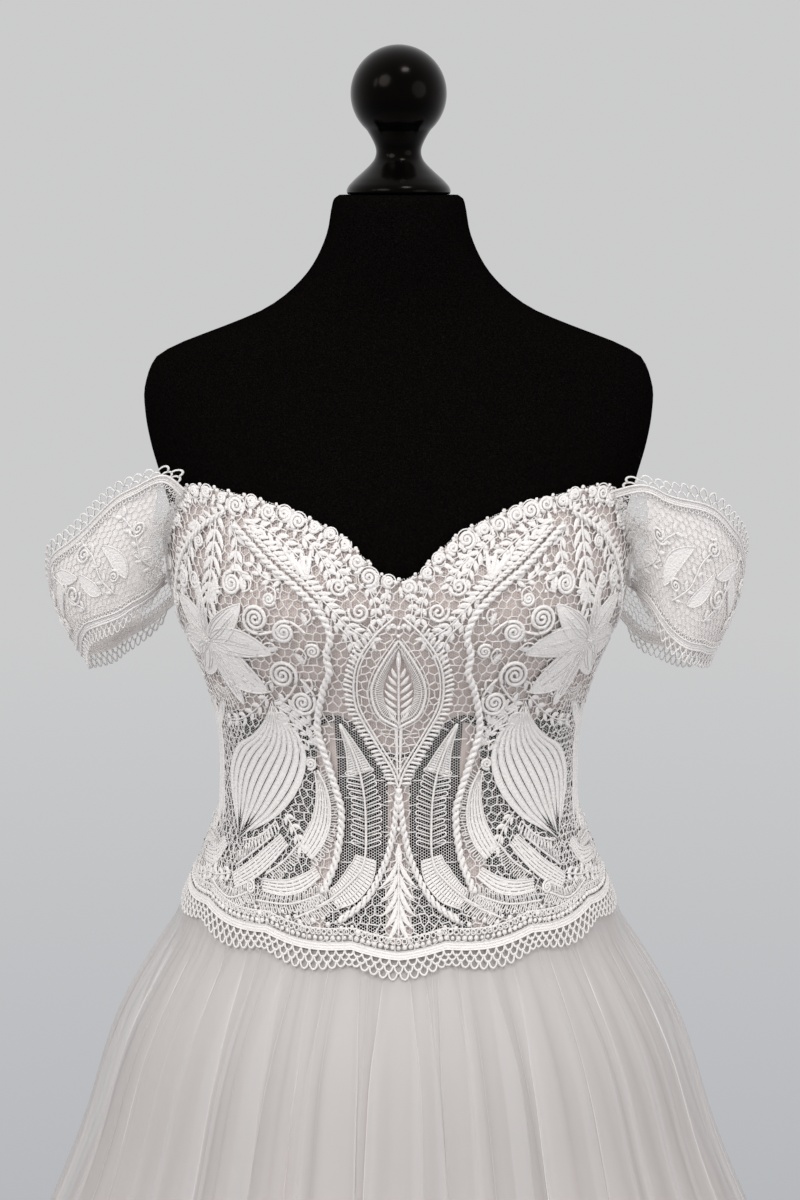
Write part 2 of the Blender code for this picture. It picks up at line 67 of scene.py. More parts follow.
BODICE = [
    (0.955, 0.1880, 0.1640, 0.160), (0.975, 0.1785, 0.1540, 0.149), (1.000, 0.1680, 0.1400, 0.134),
    (1.015, 0.1610, 0.1310, 0.124), (1.030, 0.1545, 0.1235, 0.115), (1.045, 0.1485, 0.1165, 0.106),
    (1.060, 0.1430, 0.1115, 0.0985), (1.083, 0.1372, 0.1068, 0.0895), (1.113, 0.1370, 0.1062, 0.0870),
    (1.143, 0.1405, 0.1092, 0.0890), (1.173, 0.1495, 0.1165, 0.0940), (1.203, 0.1610, 0.1240, 0.1000),
    (1.233, 0.1715, 0.1280, 0.1050), (1.263, 0.1760, 0.1250, 0.1070), (1.293, 0.1800, 0.1160, 0.1070),
    (1.330, 0.1820, 0.0990, 0.1040),
]
SKIRT = [
    (0.012, 0.5900, 0.590, 0.590), (0.200, 0.5100, 0.506, 0.508), (0.400, 0.4250, 0.414, 0.418),
    (0.600, 0.3380, 0.320, 0.324), (0.753, 0.2710, 0.247, 0.249), (0.858, 0.2250, 0.199, 0.197),
    (0.900, 0.2065, 0.180, 0.177), (0.940, 0.1895, 0.1635, 0.160), (0.960, 0.1805, 0.1550, 0.1505),
    (0.980, 0.1710, 0.1455, 0.1405), (1.010, 0.1570, 0.1285, 0.1220), (1.030, 0.1505, 0.1195, 0.1110),
]
NECKLINE = [
    (0, 1.262), (4, 1.266), (8, 1.278), (13, 1.292), (20, 1.303), (31, 1.314), (42, 1.3195), (52, 1.323),
    (60, 1.321), (70, 1.300), (80, 1.281), (90, 1.273), (120, 1.276), (155, 1.272), (180, 1.262),
]
JOIN = [
    (0, 0.998), (11, 1.002), (22, 1.0065), (36, 1.014), (50, 1.022), (72, 1.030), (90, 1.0335), (135, 1.030),
    (180, 1.020),
]
BUST_HEIGHT, BUST_RISE, BUST_DEPTH = 1.238, 0.052, 0.014
BUST_ANGLE, BUST_SPREAD = math.radians(36), math.radians(27)
SLEEVE_MIDDLE, SLEEVE_BELLY, SLEEVE_SEAM_REACH, SLEEVE_SEAM_OUT = 0.19, 0.006, 0.22, 0.0012
SLEEVE_SEAMS = ((0.0, 57, 83), (1.0, 125, 103))
SLEEVE_ALONG = (0.00, 0.12, 0.25, 0.38, 0.50, 0.60, 0.75, 0.88, 1.00)
SLEEVE_TOP = {
    "left": [
        (0.152, -0.0625, 1.322), (0.172, -0.066, 1.336), (0.200, -0.060, 1.324), (0.229, -0.044, 1.297),
        (0.262, -0.016, 1.266), (0.266, 0.012, 1.240), (0.243, 0.045, 1.246), (0.200, 0.066, 1.275),
        (0.150, 0.064, 1.298),
    ],
    "right": [
        (0.148, -0.064, 1.322), (0.178, -0.066, 1.329), (0.206, -0.058, 1.319), (0.233, -0.042, 1.309),
        (0.256, -0.018, 1.284), (0.263, 0.008, 1.258), (0.246, 0.040, 1.252), (0.202, 0.064, 1.275),
        (0.150, 0.064, 1.298),
    ],
}
SLEEVE_LOW = {
    "left": [
        (0.1765, -0.022, 1.243), (0.189, -0.036, 1.231), (0.205, -0.042, 1.220), (0.223, -0.038, 1.212),
        (0.237, -0.018, 1.196), (0.2385, 0.008, 1.180), (0.222, 0.036, 1.182), (0.200, 0.050, 1.196),
        (0.1765, 0.030, 1.222),
    ],
    "right": [
        (0.1765, -0.022, 1.240), (0.186, -0.036, 1.230), (0.196, -0.046, 1.212), (0.212, -0.044, 1.197),
        (0.230, -0.024, 1.188), (0.240, 0.004, 1.186), (0.222, 0.032, 1.179), (0.198, 0.046, 1.184),
        (0.1765, 0.030, 1.215),
    ],
}
NECK_TOP = 1.533


def curve(keys, values, at):
    """Smooth curve through a table's column, with no overshoot."""
    keys, values = np.asarray(keys, float), np.asarray(values, float)
    step = np.diff(values) / np.diff(keys)
    slope = np.concatenate([[step[0]], np.zeros(len(keys) - 2), [step[-1]]])
    a, b = step[:-1], step[1:]
    same = a * b > 0
    slope[1:-1][same] = 2 * a[same] * b[same] / (a + b)[same]
    at = np.clip(at, keys[0], keys[-1])
    i = np.clip(np.searchsorted(keys, at, side="right") - 1, 0, len(keys) - 2)
    span = keys[i + 1] - keys[i]
    t = (at - keys[i]) / span
    return (
        (2 * t**3 - 3 * t**2 + 1) * values[i]
        + (t**3 - 2 * t**2 + t) * span * slope[i]
        + (3 * t**2 - 2 * t**3) * values[i + 1]
        + (t**3 - t**2) * span * slope[i + 1]
    )


def unit(v):
    return v / np.maximum(np.linalg.norm(v, axis=-1, keepdims=True), 1e-12)


def wrapped(angle):
    return (np.asarray(angle, float) + math.pi) % (2 * math.pi) - math.pi


def on_rings(table, angle, z, out=0.0):
    """Points on the body that these rings describe, or out metres off it."""
    keys = [row[0] for row in table]
    wide, front, back = (curve(keys, [row[k] for row in table], z) for k in (1, 2, 3))
    angle = wrapped(angle)
    deep = np.where(np.cos(angle) > 0, front, back)
    normal = unit(np.stack([np.sin(angle) / wide, -np.cos(angle) / deep], -1))
    bust = BUST_DEPTH * np.exp(
        -(((np.abs(angle) - BUST_ANGLE) / BUST_SPREAD) ** 2) - ((z - BUST_HEIGHT) / BUST_RISE) ** 2
    )
    flat = np.stack([wide * np.sin(angle), -deep * np.cos(angle)], -1)
    flat = flat + normal * (out + bust)[..., None]
    return np.concatenate([flat, np.broadcast_to(z, angle.shape)[..., None]], -1)


def edge(table, angle):
    """Height of a seam line at an angle, in radians."""
    return curve([row[0] for row in table], [row[1] for row in table], np.abs(np.degrees(wrapped(angle))))


# ---------------------------------------------------------------- the bodice as flat cloth

ANGLES = np.linspace(-math.pi, math.pi, 1441)
FRONT = 720  # the column of ANGLES at the centre front
LEVELS = np.linspace(0.94, 1.345, 164)
GRID = on_rings(BODICE, *np.broadcast_arrays(ANGLES[None], LEVELS[:, None]))
ARC = np.concatenate(
    [np.zeros((len(LEVELS), 1)), np.cumsum(np.linalg.norm(np.diff(GRID, axis=1), axis=-1), 1)], 1
)
ARC -= ARC[:, FRONT : FRONT + 1]
CLOTH_X = np.linspace(-0.50, 0.50, 1001)
ANGLE_AT = np.stack([np.interp(CLOTH_X, arc, ANGLES) for arc in ARC])
HALF_ROUND = ARC[:, -1]


def angle_at(x, z):
    """Angle round the body at x metres along the cloth from the centre front."""
    i = np.clip((z - LEVELS[0]) / (LEVELS[1] - LEVELS[0]), 0, len(LEVELS) - 1.001)
    j = np.clip((x - CLOTH_X[0]) / (CLOTH_X[1] - CLOTH_X[0]), 0, len(CLOTH_X) - 1.001)
    i0, j0 = i.astype(int), j.astype(int)
    fi, fj = i - i0, j - j0
    low = ANGLE_AT[i0, j0] * (1 - fj) + ANGLE_AT[i0, j0 + 1] * fj
    high = ANGLE_AT[i0 + 1, j0] * (1 - fj) + ANGLE_AT[i0 + 1, j0 + 1] * fj
    return low * (1 - fi) + high * fi


def half_round(z):
    return np.interp(z, LEVELS, HALF_ROUND)


def normals(place, a, b, step_a, step_b):
    """Outward normals of a surface place(a, b)."""
    along_a = place(a + step_a, b) - place(a - step_a, b)
    along_b = place(a, b + step_b) - place(a, b - step_b)
    return unit(np.cross(along_a, along_b))


def bodice_place(angle, z):
    return on_rings(BODICE, angle, z)


def lay_on_bodice(flat):
    """flat is (x, y, h) in millimetres on the front cloth. Returns places in metres."""
    x, z, h = flat[:, 0] / 1000, flat[:, 1] / 1000, flat[:, 2] / 1000
    angle = angle_at(x, z)
    return bodice_place(angle, z) + normals(bodice_place, angle, z, 0.004, 0.001) * h[:, None]


def lay_on_back(flat):
    """x is from the centre back, to the viewer's right as seen from behind."""
    x, z = flat[:, 0] / 1000, flat[:, 1] / 1000
    round_x = np.where(x >= 0, -(half_round(z) - x), half_round(z) + x)
    return lay_on_bodice(np.stack([round_x * 1000, flat[:, 1], flat[:, 2]], -1))


def sleeve_place(side):
    """place(u, v) on a sleeve's outer face. u runs round it and v down it."""
    sign = -1 if side == "left" else 1
    tops, lows = np.array(SLEEVE_TOP[side]), np.array(SLEEVE_LOW[side])

    def place(u, v):
        inside = np.clip(u, 0, 1)
        top = np.stack([curve(SLEEVE_ALONG, tops[:, k], inside) for k in range(3)], -1)
        low = np.stack([curve(SLEEVE_ALONG, lows[:, k], inside) for k in range(3)], -1)
        at = top + (low - top) * v[..., None]
        away = at - np.array([SLEEVE_MIDDLE, 0, 0])
        away[..., 2] = 0
        belly = SLEEVE_BELLY * np.sin(math.pi * np.clip(v, 0, 1)) * np.sin(math.pi * inside)
        at = at + unit(away) * belly[..., None]
        for end, seam_top, seam_low in SLEEVE_SEAMS:
            k = 0 if end == 0 else -1
            pull = np.maximum(0, 1 - np.abs(inside - end) / SLEEVE_SEAM_REACH) ** 2
            angle = np.radians(seam_top + (seam_low - seam_top) * v)
            z = tops[k, 2] + (lows[k, 2] - tops[k, 2]) * v
            sewn = on_rings(BODICE, angle, z, SLEEVE_SEAM_OUT)
            loose = tops[k] + (lows[k] - tops[k]) * v[..., None]
            at = at + (sewn - loose) * pull[..., None]
        at[..., 0] *= sign
        return at

    return place


# ---------------------------------------------------------------- drawing on flat cloth, in millimetres


class Cloth:
    """Gathers threads and patches drawn on flat cloth into one mesh."""

    def __init__(self):
        self.points, self.faces, self.count = [], [], 0

    def grid(self, points, closed=False):
        """points is (rows, columns, 3). closed joins the last column to the first."""
        rows, columns = points.shape[:2]
        index = np.arange(rows * columns).reshape(rows, columns) + self.count
        if closed:
            index = np.concatenate([index, index[:, :1]], 1)
        quads = np.stack([index[:-1, :-1], index[:-1, 1:], index[1:, 1:], index[1:, :-1]], -1).reshape(-1, 4)
        self.points.append(points.reshape(-1, 3))
        self.faces.append(quads)
        self.count += rows * columns

    def tube(self, path, radius, sides=5, height=None, flat=1.0, taper=True):
        """A thread along path, (n, 2) or (n, 3) with h. It ends in points where taper is set."""
        path = np.asarray(path, float)
        if path.shape[1] == 2:
            path = np.column_stack([path, np.full(len(path), 0.0 if height is None else height)])
        radius = np.broadcast_to(np.asarray(radius, float), len(path)).copy()
        if taper:
            path = np.concatenate([path[:1], path, path[-1:]])
            radius = np.concatenate([[0.02], radius, [0.02]])
        along = np.gradient(path[:, :2], axis=0)
        if taper:
            along[0], along[-1] = along[1], along[-2]
        along = unit(along)
        across = np.stack([-along[:, 1], along[:, 0]], -1)
        turn = 2 * math.pi * (np.arange(sides) + 0.5) / sides
        ring = np.empty((len(path), sides, 3))
        ring[..., :2] = path[:, None, :2] + across[:, None] * (radius[:, None] * np.cos(turn))[..., None]
        ring[..., 2] = path[:, None, 2] + flat * radius[:, None] * np.sin(turn)
        self.grid(ring, closed=True)

    def band(self, left, right, rise, base=0.0, across=5, groove=0.0, ends=True):
        """A domed strip between two edges, each (n, 2). groove sinks its midline."""
        left, right = np.asarray(left, float), np.asarray(right, float)
        v = np.linspace(0, 1, across)
        dome = rise * (1 - (2 * v - 1) ** 2) ** 0.5 - groove * np.exp(-(((v - 0.5) / 0.12) ** 2))
        points = np.empty((len(left), across, 3))
        points[..., :2] = left[:, None] * (1 - v)[:, None] + right[:, None] * v[:, None]
        size = np.ones(len(left))
        if ends:
            size = np.minimum(1, np.linalg.norm(right - left, axis=1) / max(rise * 3, 0.1))
        points[..., 2] = base + dome[None] * size[:, None]
        self.grid(points)

    def extend(self, other, mirror=False, shift=(0, 0)):
        points = np.concatenate(other.points).copy()
        if mirror:
            points[:, 0] *= -1
        points[:, 0] += shift[0]
        points[:, 1] += shift[1]
        faces = np.concatenate(other.faces)
        self.points.append(points)
        self.faces.append((faces[:, ::-1] if mirror else faces) + self.count)
        self.count += len(points)

    def flat(self):
        return np.concatenate(self.points), np.concatenate(self.faces)


def through(points, count=40):
    """A smooth path through points, evenly spaced, (count, 2)."""
    points = np.asarray(points, float)
    n = len(points)
    if n == 2:
        dense = points[0] + (points[1] - points[0]) * np.linspace(0, 1, 30)[:, None]
    else:
        padded = np.concatenate([2 * points[:1] - points[1:2], points, 2 * points[-1:] - points[-2:-1]])
        t = np.linspace(0, 1, 12, endpoint=False)[:, None]
        pieces = []
        for k in range(n - 1):
            p0, p1, p2, p3 = padded[k : k + 4]
            square, cube = 2 * p0 - 5 * p1 + 4 * p2 - p3, 3 * p1 - p0 - 3 * p2 + p3
            pieces.append(0.5 * (2 * p1 + (p2 - p0) * t + square * t**2 + cube * t**3))
        dense = np.concatenate([*pieces, points[-1:]])
    run = np.concatenate([[0], np.cumsum(np.linalg.norm(np.diff(dense, axis=0), axis=1))])
    at = np.linspace(0, run[-1], count)
    return np.stack([np.interp(at, run, dense[:, k]) for k in range(2)], -1)


def length_of(path):
    return float(np.linalg.norm(np.diff(path, axis=0), axis=1).sum())


def sideways(path):
    """Unit vectors to the left of a path."""
    along = unit(np.gradient(path, axis=0))
    return np.stack([-along[:, 1], along[:, 0]], -1)


def rope(cloth, points, radius=1.35, pitch=13.0, offset=1.25, height=1.3):
    """Two cords twisted round each other."""
    long = length_of(through(points, 60))
    path = through(points, max(12, int(long / 1.5)))
    side = sideways(path)
    turn = 2 * math.pi * np.linspace(0, long / pitch, len(path))
    for k in (0, 1):
        phase = turn + k * math.pi
        beside = path + side * (offset * np.cos(phase))[:, None]
        cord = np.column_stack([beside, height + 0.75 * np.sin(phase)])
        thick = radius * (0.86 + 0.22 * np.sin(phase))
        cloth.tube(cord, thick, sides=5)


SMALL_LEAF = 7.5


def leaf(cloth, base, tip, width, bend=0.0, rise=0.9, groove=0.45, outline=0.4, lift=0.25):
    """A pointed leaf or petal with a sunk midrib and a corded outline."""
    base, tip = np.asarray(base, float), np.asarray(tip, float)
    chord = tip - base
    normal = np.array([-chord[1], chord[0]])
    middle = (base + tip) / 2 + normal * bend
    small = width < SMALL_LEAF
    t = np.linspace(0, 1, 8 if small else 14)[:, None]
    spine = (1 - t) ** 2 * base + 2 * t * (1 - t) * middle + t**2 * tip
    t = t[:, 0]
    half = width / 2 * np.sin(math.pi * t**0.85) ** 0.8
    side = sideways(spine) * half[:, None]
    cloth.band(spine + side, spine - side, rise, base=lift, across=5 if small else 7, groove=groove)
    if outline:
        ring = np.concatenate([spine + side, (spine - side)[::-1][1:]])
        cloth.tube(ring, outline, sides=4, height=lift + 0.25, taper=False)


def spiral(cloth, centre, radius, start=0.0, turns=2.1, hand=1, cord=1.0, height=0.9):
    """A flat cord wound into a disc. start is the angle of its outer end, in degrees."""
    steps = max(18, int(turns * radius * 2.0))
    t = np.linspace(0, 1, steps)
    angle = math.radians(start) + hand * 2 * math.pi * turns * t
    away = radius * (1 - 0.86 * t**0.9) - cord * 0.6
    path = np.stack([centre[0] + away * np.cos(angle), centre[1] + away * np.sin(angle)], -1)
    cloth.tube(path, cord, sides=5, height=height, flat=0.8)


def dot(cloth, centre, radius, height=0.6):
    """A small thread knot."""
    angle = np.linspace(0, 2 * math.pi, 7)[:-1]
    rings = []
    for share, up in ((1.0, 0.0), (0.7, 0.8), (0.02, 1.05)):
        x, y = (middle + radius * share * wave(angle) for middle, wave in zip(centre, (np.cos, np.sin)))
        rings.append(np.stack([x, y, np.full(6, height + radius * 0.9 * up)], -1))
    cloth.grid(np.stack(rings)[:, ::-1], closed=True)


def fringe(cloth, points, hand, long=6.5, pitch=3.4, slant=0.6, thick=1.0, cord=0.7):
    """A cord with rounded fingers standing on one side of it."""
    total = length_of(through(points, 60))
    path = through(points, max(10, int(total / 1.5)))
    cloth.tube(path, cord, sides=5, height=0.8)
    count = int(total / pitch)
    roots = through(points, count + 1)
    side, along = sideways(roots) * hand, unit(np.gradient(roots, axis=0))
    for k in range(count):
        reach = long * rng.uniform(0.88, 1.08)
        way = unit(side[k] + along[k] * slant)
        t = np.linspace(0.05, 1, 5)[:, None]
        finger = roots[k] + way * reach * t + along[k] * 0.9 * (t**2)
        cloth.tube(finger, thick * np.array([0.55, 0.8, 0.95, 1.05, 0.75]), sides=4, height=0.7)


def comb(cloth, points, left, right, pitch, thread, wide, slant=-0.35):
    """A spine with long narrow loops on both sides, like a feather's barbs."""
    total = length_of(through(points, 60))
    count = int(total / pitch)
    roots = through(points, count + 1)
    side, along = sideways(roots), unit(np.gradient(roots, axis=0))
    path = through(points, max(10, int(total / 2)))
    cloth.tube(path, 0.8, sides=5, height=0.9)
    for k in range(count):
        for hand, reach in ((1, left), (-1, right)):
            if not reach:
                continue
            way = unit(side[k] * hand + along[k] * slant)
            cross = np.array([-way[1], way[0]])
            far = reach * rng.uniform(0.86, 1.08)
            turn = np.linspace(-math.pi / 2, math.pi / 2, 6)
            cap = roots[k] + way * (far - wide / 2) + (
                np.cos(turn)[:, None] * way + np.sin(turn)[:, None] * cross
            ) * (wide / 2)
            start = roots[k] - cross * wide / 2
            end = roots[k] + cross * wide / 2
            cloth.tube(np.concatenate([[start], cap, [end]]), thread, sides=4, height=0.6)


def ribbed(cloth, left, right, pitch=4.2, rise=1.0, gap=0.5):
    """A solid area of rounded ribs that run across from one edge to the other."""
    left, right = np.asarray(left, float), np.asarray(right, float)
    count = max(1, int(round(length_of(left) / pitch)))
    left, right = through(left, count * 3 + 1), through(right, count * 3 + 1)
    for k in range(count):
        a, b = left[3 * k : 3 * k + 4], right[3 * k : 3 * k + 4]
        v = np.linspace(0, 1, 7)
        rows = []
        for share, up in ((gap / pitch / 2, 0.25), (0.3, 0.95), (0.7, 0.95), (1 - gap / pitch / 2, 0.25)):
            p = a[0] + (a[3] - a[0]) * share
            q = b[0] + (b[3] - b[0]) * share
            line = p + (q - p) * v[:, None]
            rows.append(np.column_stack([line, 0.2 + rise * up * (1 - (2 * v - 1) ** 4)]))
        cloth.grid(np.stack(rows))


def stripes(cloth, left, right, count, rise=0.9, gap=0.7, lift=0.2, points=24):
    """A solid area of rounded stripes that run along it, between two edges."""
    left, right = through(left, points), through(right, points)
    for k in range(count):
        wide = np.linalg.norm(right - left, axis=1)[:, None]
        inset = np.minimum(gap / 2 / np.maximum(wide, 0.01), 0.3 / count)
        a = left + (right - left) * (k / count + inset)
        b = left + (right - left) * ((k + 1) / count - inset)
        cloth.band(a, b, rise, base=lift, across=5)


def strands(cloth, left, right, count, points=30):
    """A flowing leaf of separate tapered strands between two edges, each between two fine cords."""
    left, right = through(left, points), through(right, points)
    for k in range(count):
        first, last = int(2.5 * abs(math.sin(1.9 * k))), points - int(5 * abs(math.sin(2.3 * k + 0.6)))
        t = np.linspace(0, 1, last - first)
        taper = np.clip(np.minimum(t / 0.16, (1 - t) / 0.14), 0.06, 1) ** 0.6
        middle = (left + (right - left) * (k + 0.5) / count)[first:last]
        half = (right - left)[first:last] * (0.40 / count * taper)[:, None]
        cloth.band(middle - half, middle + half, 0.8, base=0.3, across=5)
        for hand in (-1, 1):
            cloth.tube((middle + hand * half)[::2], 0.36, sides=4, height=0.6)


def scale_loops(cloth, path, depths, pitch, thread, hand, height, rows=2):
    """Rows of round loops hanging from a path like fish scales. depths is how far all rows reach along it."""
    total = length_of(path)
    count = int(round(total / pitch))
    fine = through(path, count * 2 + 1)
    side = sideways(fine) * hand
    deep = np.interp(np.linspace(0, 1, count * 2 + 1), np.linspace(0, 1, len(depths)), depths)
    for row in range(rows):
        first = row % 2
        for k in range(count - first):
            i = 2 * k + first
            a, b = fine[i], fine[i + 2]
            mid = i + 1
            top, low = deep[mid] * row / rows, deep[mid] * (row + 1) / rows
            t = np.linspace(0, 1, 9)
            bulge = np.sin(math.pi * t) ** 0.5
            overlap = 0.9 if row else 0.0
            down = (top - overlap) * np.ones_like(t) + (low - top + overlap) * bulge
            line = a + (b - a) * t[:, None] + side[mid] * down[:, None]
            cloth.tube(line, thread, sides=4, height=height)


def net_cells(cloth, inside, box, cell, thread, seed, jitter=0.15):
    """Irregular hexagonal net. inside(points) says which thread middles to keep."""
    own = np.random.default_rng(seed)
    x0, y0, x1, y1 = box
    side = cell / math.sqrt(3)
    columns, rows = int((x1 - x0) / cell) + 3, int((y1 - y0) / (1.5 * side)) + 3
    # Two corners belong to each cell: the one above its middle (0) and the one below (1).
    j, i = np.meshgrid(np.arange(rows + 2), np.arange(columns + 2), indexing="ij")
    middle = np.stack([x0 + cell * (i - 1 + 0.5 * (j % 2)), y0 + 1.5 * side * (j - 1)], -1)
    corners = np.stack([middle + [0, side], middle - [0, side]], 2)
    corners = corners + own.normal(0, jitter * side, corners.shape)
    starts, ends = [], []
    for j in range(rows):
        odd = j % 2
        for i in range(1, columns):
            for di, dj in ((odd, 1), (odd - 1, 1), (0, 2)):
                if j + dj < rows + 2:
                    starts.append(corners[j, i, 0])
                    ends.append(corners[j + dj, i + di, 1])
    starts, ends = np.array(starts), np.array(ends)
    keep = inside((starts + ends) / 2)
    for a, b in zip(starts[keep], ends[keep]):
        cloth.tube(np.stack([a, b]), thread, sides=3, height=0.15, taper=False)


def near_path(points, path, reach):
    """True where points lie within reach of a path."""
    gaps = np.linalg.norm(points[:, None] - path[None], axis=-1)
    return gaps.min(1) < reach


def in_polygon(points, polygon):
    polygon = np.asarray(polygon, float)
    x, y = points[:, 0], points[:, 1]
    inside = np.zeros(len(points), bool)
    for a, b in zip(polygon, np.roll(polygon, -1, 0)):
        crosses = (a[1] > y) != (b[1] > y)
        with np.errstate(divide="ignore", invalid="ignore"):
            at = (b[0] - a[0]) * (y - a[1]) / (b[1] - a[1]) + a[0]
        inside ^= crosses & (x < at)
    return inside


# ---------------------------------------------------------------- the lace design, in mm on the cloth

SECOND_ROPE_GAP, LARGE_SPIRAL, NECKLINE_PITCH = 6.0, 9, 13.0
ROPE_LONG = [
    (124, 1298), (94, 1272), (73, 1256), (56, 1239), (49, 1222), (52, 1208), (50, 1194),
    (55, 1180), (60, 1150),
    (52, 1122), (45, 1100), (42, 1084), (46, 1054), (56, 1030),
]
ROPE_CENTRE = [(0, 1106), (4, 1074), (10, 1052), (24, 1027), (44, 1012)]
SCROLL_CORD = [(3, 1236), (16, 1224), (26, 1210), (32, 1192), (31, 1168), (19, 1144), (5, 1120), (0, 1106)]
FEATHER = [
    (43, 1154), (34, 1134), (28, 1116), (25, 1098), (24, 1080), (24, 1062), (27, 1048),
    (38, 1036), (54, 1024),
    (76, 1014),
]
SPRIG = [(139, 1308), (141, 1290), (145, 1266), (152, 1234)]
HORN = [(62, 1117), (58, 1104), (57, 1090), (59, 1077), (64, 1066), (71, 1056)]
MEDALLION = [(0, 1219), (9, 1206), (17, 1191), (19.5, 1177), (14, 1161), (0, 1152)]
SPIRALS = [
    # x, y, radius, degrees of the outer end, hand
    (43, 1258, 7.5, 200, 1), (28, 1240, 8.8, 20, -1), (125, 1257, 9.5, 90, -1), (184, 1254, 8.5, 60, 1),
    (105, 1233, 12.0, 260, 1), (83, 1224, 9.6, 120, -1), (86, 1190, 12.5, 210, -1), (71, 1169, 11.0, 150, 1),
    (205, 1236, 8.0, 0, 1), (224, 1216, 9.5, 150, -1), (214, 1262, 7.0, 90, 1), (233, 1250, 8.0, 240, -1),
    (66, 1122, 5.4, 300, -1), (62, 1210, 6.5, 30, 1), (94, 1248, 6.0, 200, 1),
]
FILLERS = [
    (70, 1206, 13, 80), (94, 1212, 12, 20), (112, 1256, 12, 130), (92, 1252, 12, 60), (66, 1236, 12, 100),
    (120, 1192, 13, 200), (98, 1180, 11, 300), (66, 1182, 12, 110), (60, 1140, 12, 80), (88, 1156, 12, 30),
    (128, 1228, 12, 300), (182, 1232, 12, 30), (196, 1206, 13, 330), (186, 1180, 12, 260),
    (140, 1180, 13, 240),
    (120, 1176, 12, 200), (70, 1136, 10, 60), (186, 1262, 11, 120), (218, 1196, 12, 280), (214, 1240, 12, 60),
]
FLOWER = (157, 1210)
PETALS = [
    # tip x, tip y, width, bend
    (118, 1243, 20, 0.10), (93, 1206, 22, -0.14), (99, 1175, 27, 0.10), (124, 1161, 14, 0.0),
    (172, 1180, 28, -0.05), (205, 1210, 24, -0.05), (197, 1241, 22, 0.08), (160, 1251, 11, -0.05),
]
TULIP_LEFT = [(97, 1168), (105, 1152), (119, 1138), (139, 1127), (150, 1109), (147, 1086), (134, 1058)]
TULIP_RIGHT = [
    (97, 1168), (88, 1156), (75, 1143), (69, 1124), (76, 1101), (93, 1081), (113, 1069), (134, 1058),
]
TULIP = TULIP_LEFT + TULIP_RIGHT[::-1]
SIDE_LEAF_LEFT = [(176, 1160), (190, 1136), (196, 1108), (188, 1080), (158, 1056)]
SIDE_LEAF_RIGHT = [(176, 1160), (164, 1142), (162, 1118), (162, 1090), (158, 1056)]
ROPE_OUTER = [(131, 1306), (150, 1296), (172, 1280), (190, 1262), (204, 1240), (212, 1216)]
FEATHER_ZONE = [
    (47, 1160), (52, 1124), (44, 1090), (47, 1052), (58, 1030), (44, 1022), (14, 1036), (8, 1070), (8, 1104),
    (22, 1140),
]


def leafy(cloth, points, count, long, wide, tilt=0.75, start=0.06, end=0.97, grow=0.0, stem=0.75):
    """A stem with a pair of leaves at each step."""
    roots = through(points, 60)
    cloth.tube(roots[::3], stem, sides=4, height=0.7)
    side, along = sideways(roots), unit(np.gradient(roots, axis=0))
    for k in range(count):
        i = int(59 * (start + (end - start) * k / max(1, count - 1)))
        for hand in (1, -1):
            size = long * (1 + grow * k / count) * rng.uniform(0.9, 1.1)
            tip = roots[i] + unit(side[i] * hand * tilt + along[i]) * size
            leaf(cloth, roots[i], tip, wide, bend=0.12 * hand, rise=1.0, groove=0.3, outline=0)


def frond(cloth, points, pitch, long, wide, tilt, hand, sweep):
    """Slender leaves in a close row on one side of a path. sweep turns them along the path."""
    total = length_of(through(points, 60))
    roots = through(points, max(3, int(total / pitch)))
    side, along = sideways(roots) * hand, unit(np.gradient(roots, axis=0))
    for k in range(len(roots)):
        size = long * rng.uniform(0.82, 1.12)
        way = unit(side[k] * tilt + along[k] * sweep)
        foot = roots[k] + side[k] * 1.6
        width = wide * rng.uniform(0.85, 1.1)
        leaf(cloth, foot, foot + way * size, width, -0.14 * hand * sweep, rise=0.9, groove=0.25, outline=0)


UPPER_SPRAYS = [
    # stem, pairs of leaves, leaf length
    ([(112, 1300), (98, 1296), (84, 1288), (70, 1276)], 7, 10),
    ([(70, 1293), (60, 1284), (52, 1272), (48, 1262)], 6, 9),
    ([(52, 1280), (43, 1270), (36, 1258)], 5, 8),
    ([(58, 1252), (46, 1240), (34, 1228), (18, 1218)], 8, 9),
    ([(46, 1232), (36, 1222), (30, 1208)], 4, 8),
    ([(22, 1258), (17, 1246), (16, 1234)], 4, 7),
    ([(8, 1254), (10, 1242), (6, 1230)], 4, 6),
    ([(84, 1262), (96, 1262), (108, 1272)], 4, 8),
]
UPPER_SPIRALS = [
    # x, y, radius, degrees of the outer end
    (184, 1297, 6.5, 40), (166, 1256, 7.5, 200), (206, 1282, 7.0, 120), (222, 1262, 7.5, 20),
    (158, 1284, 5.5, 90),
]


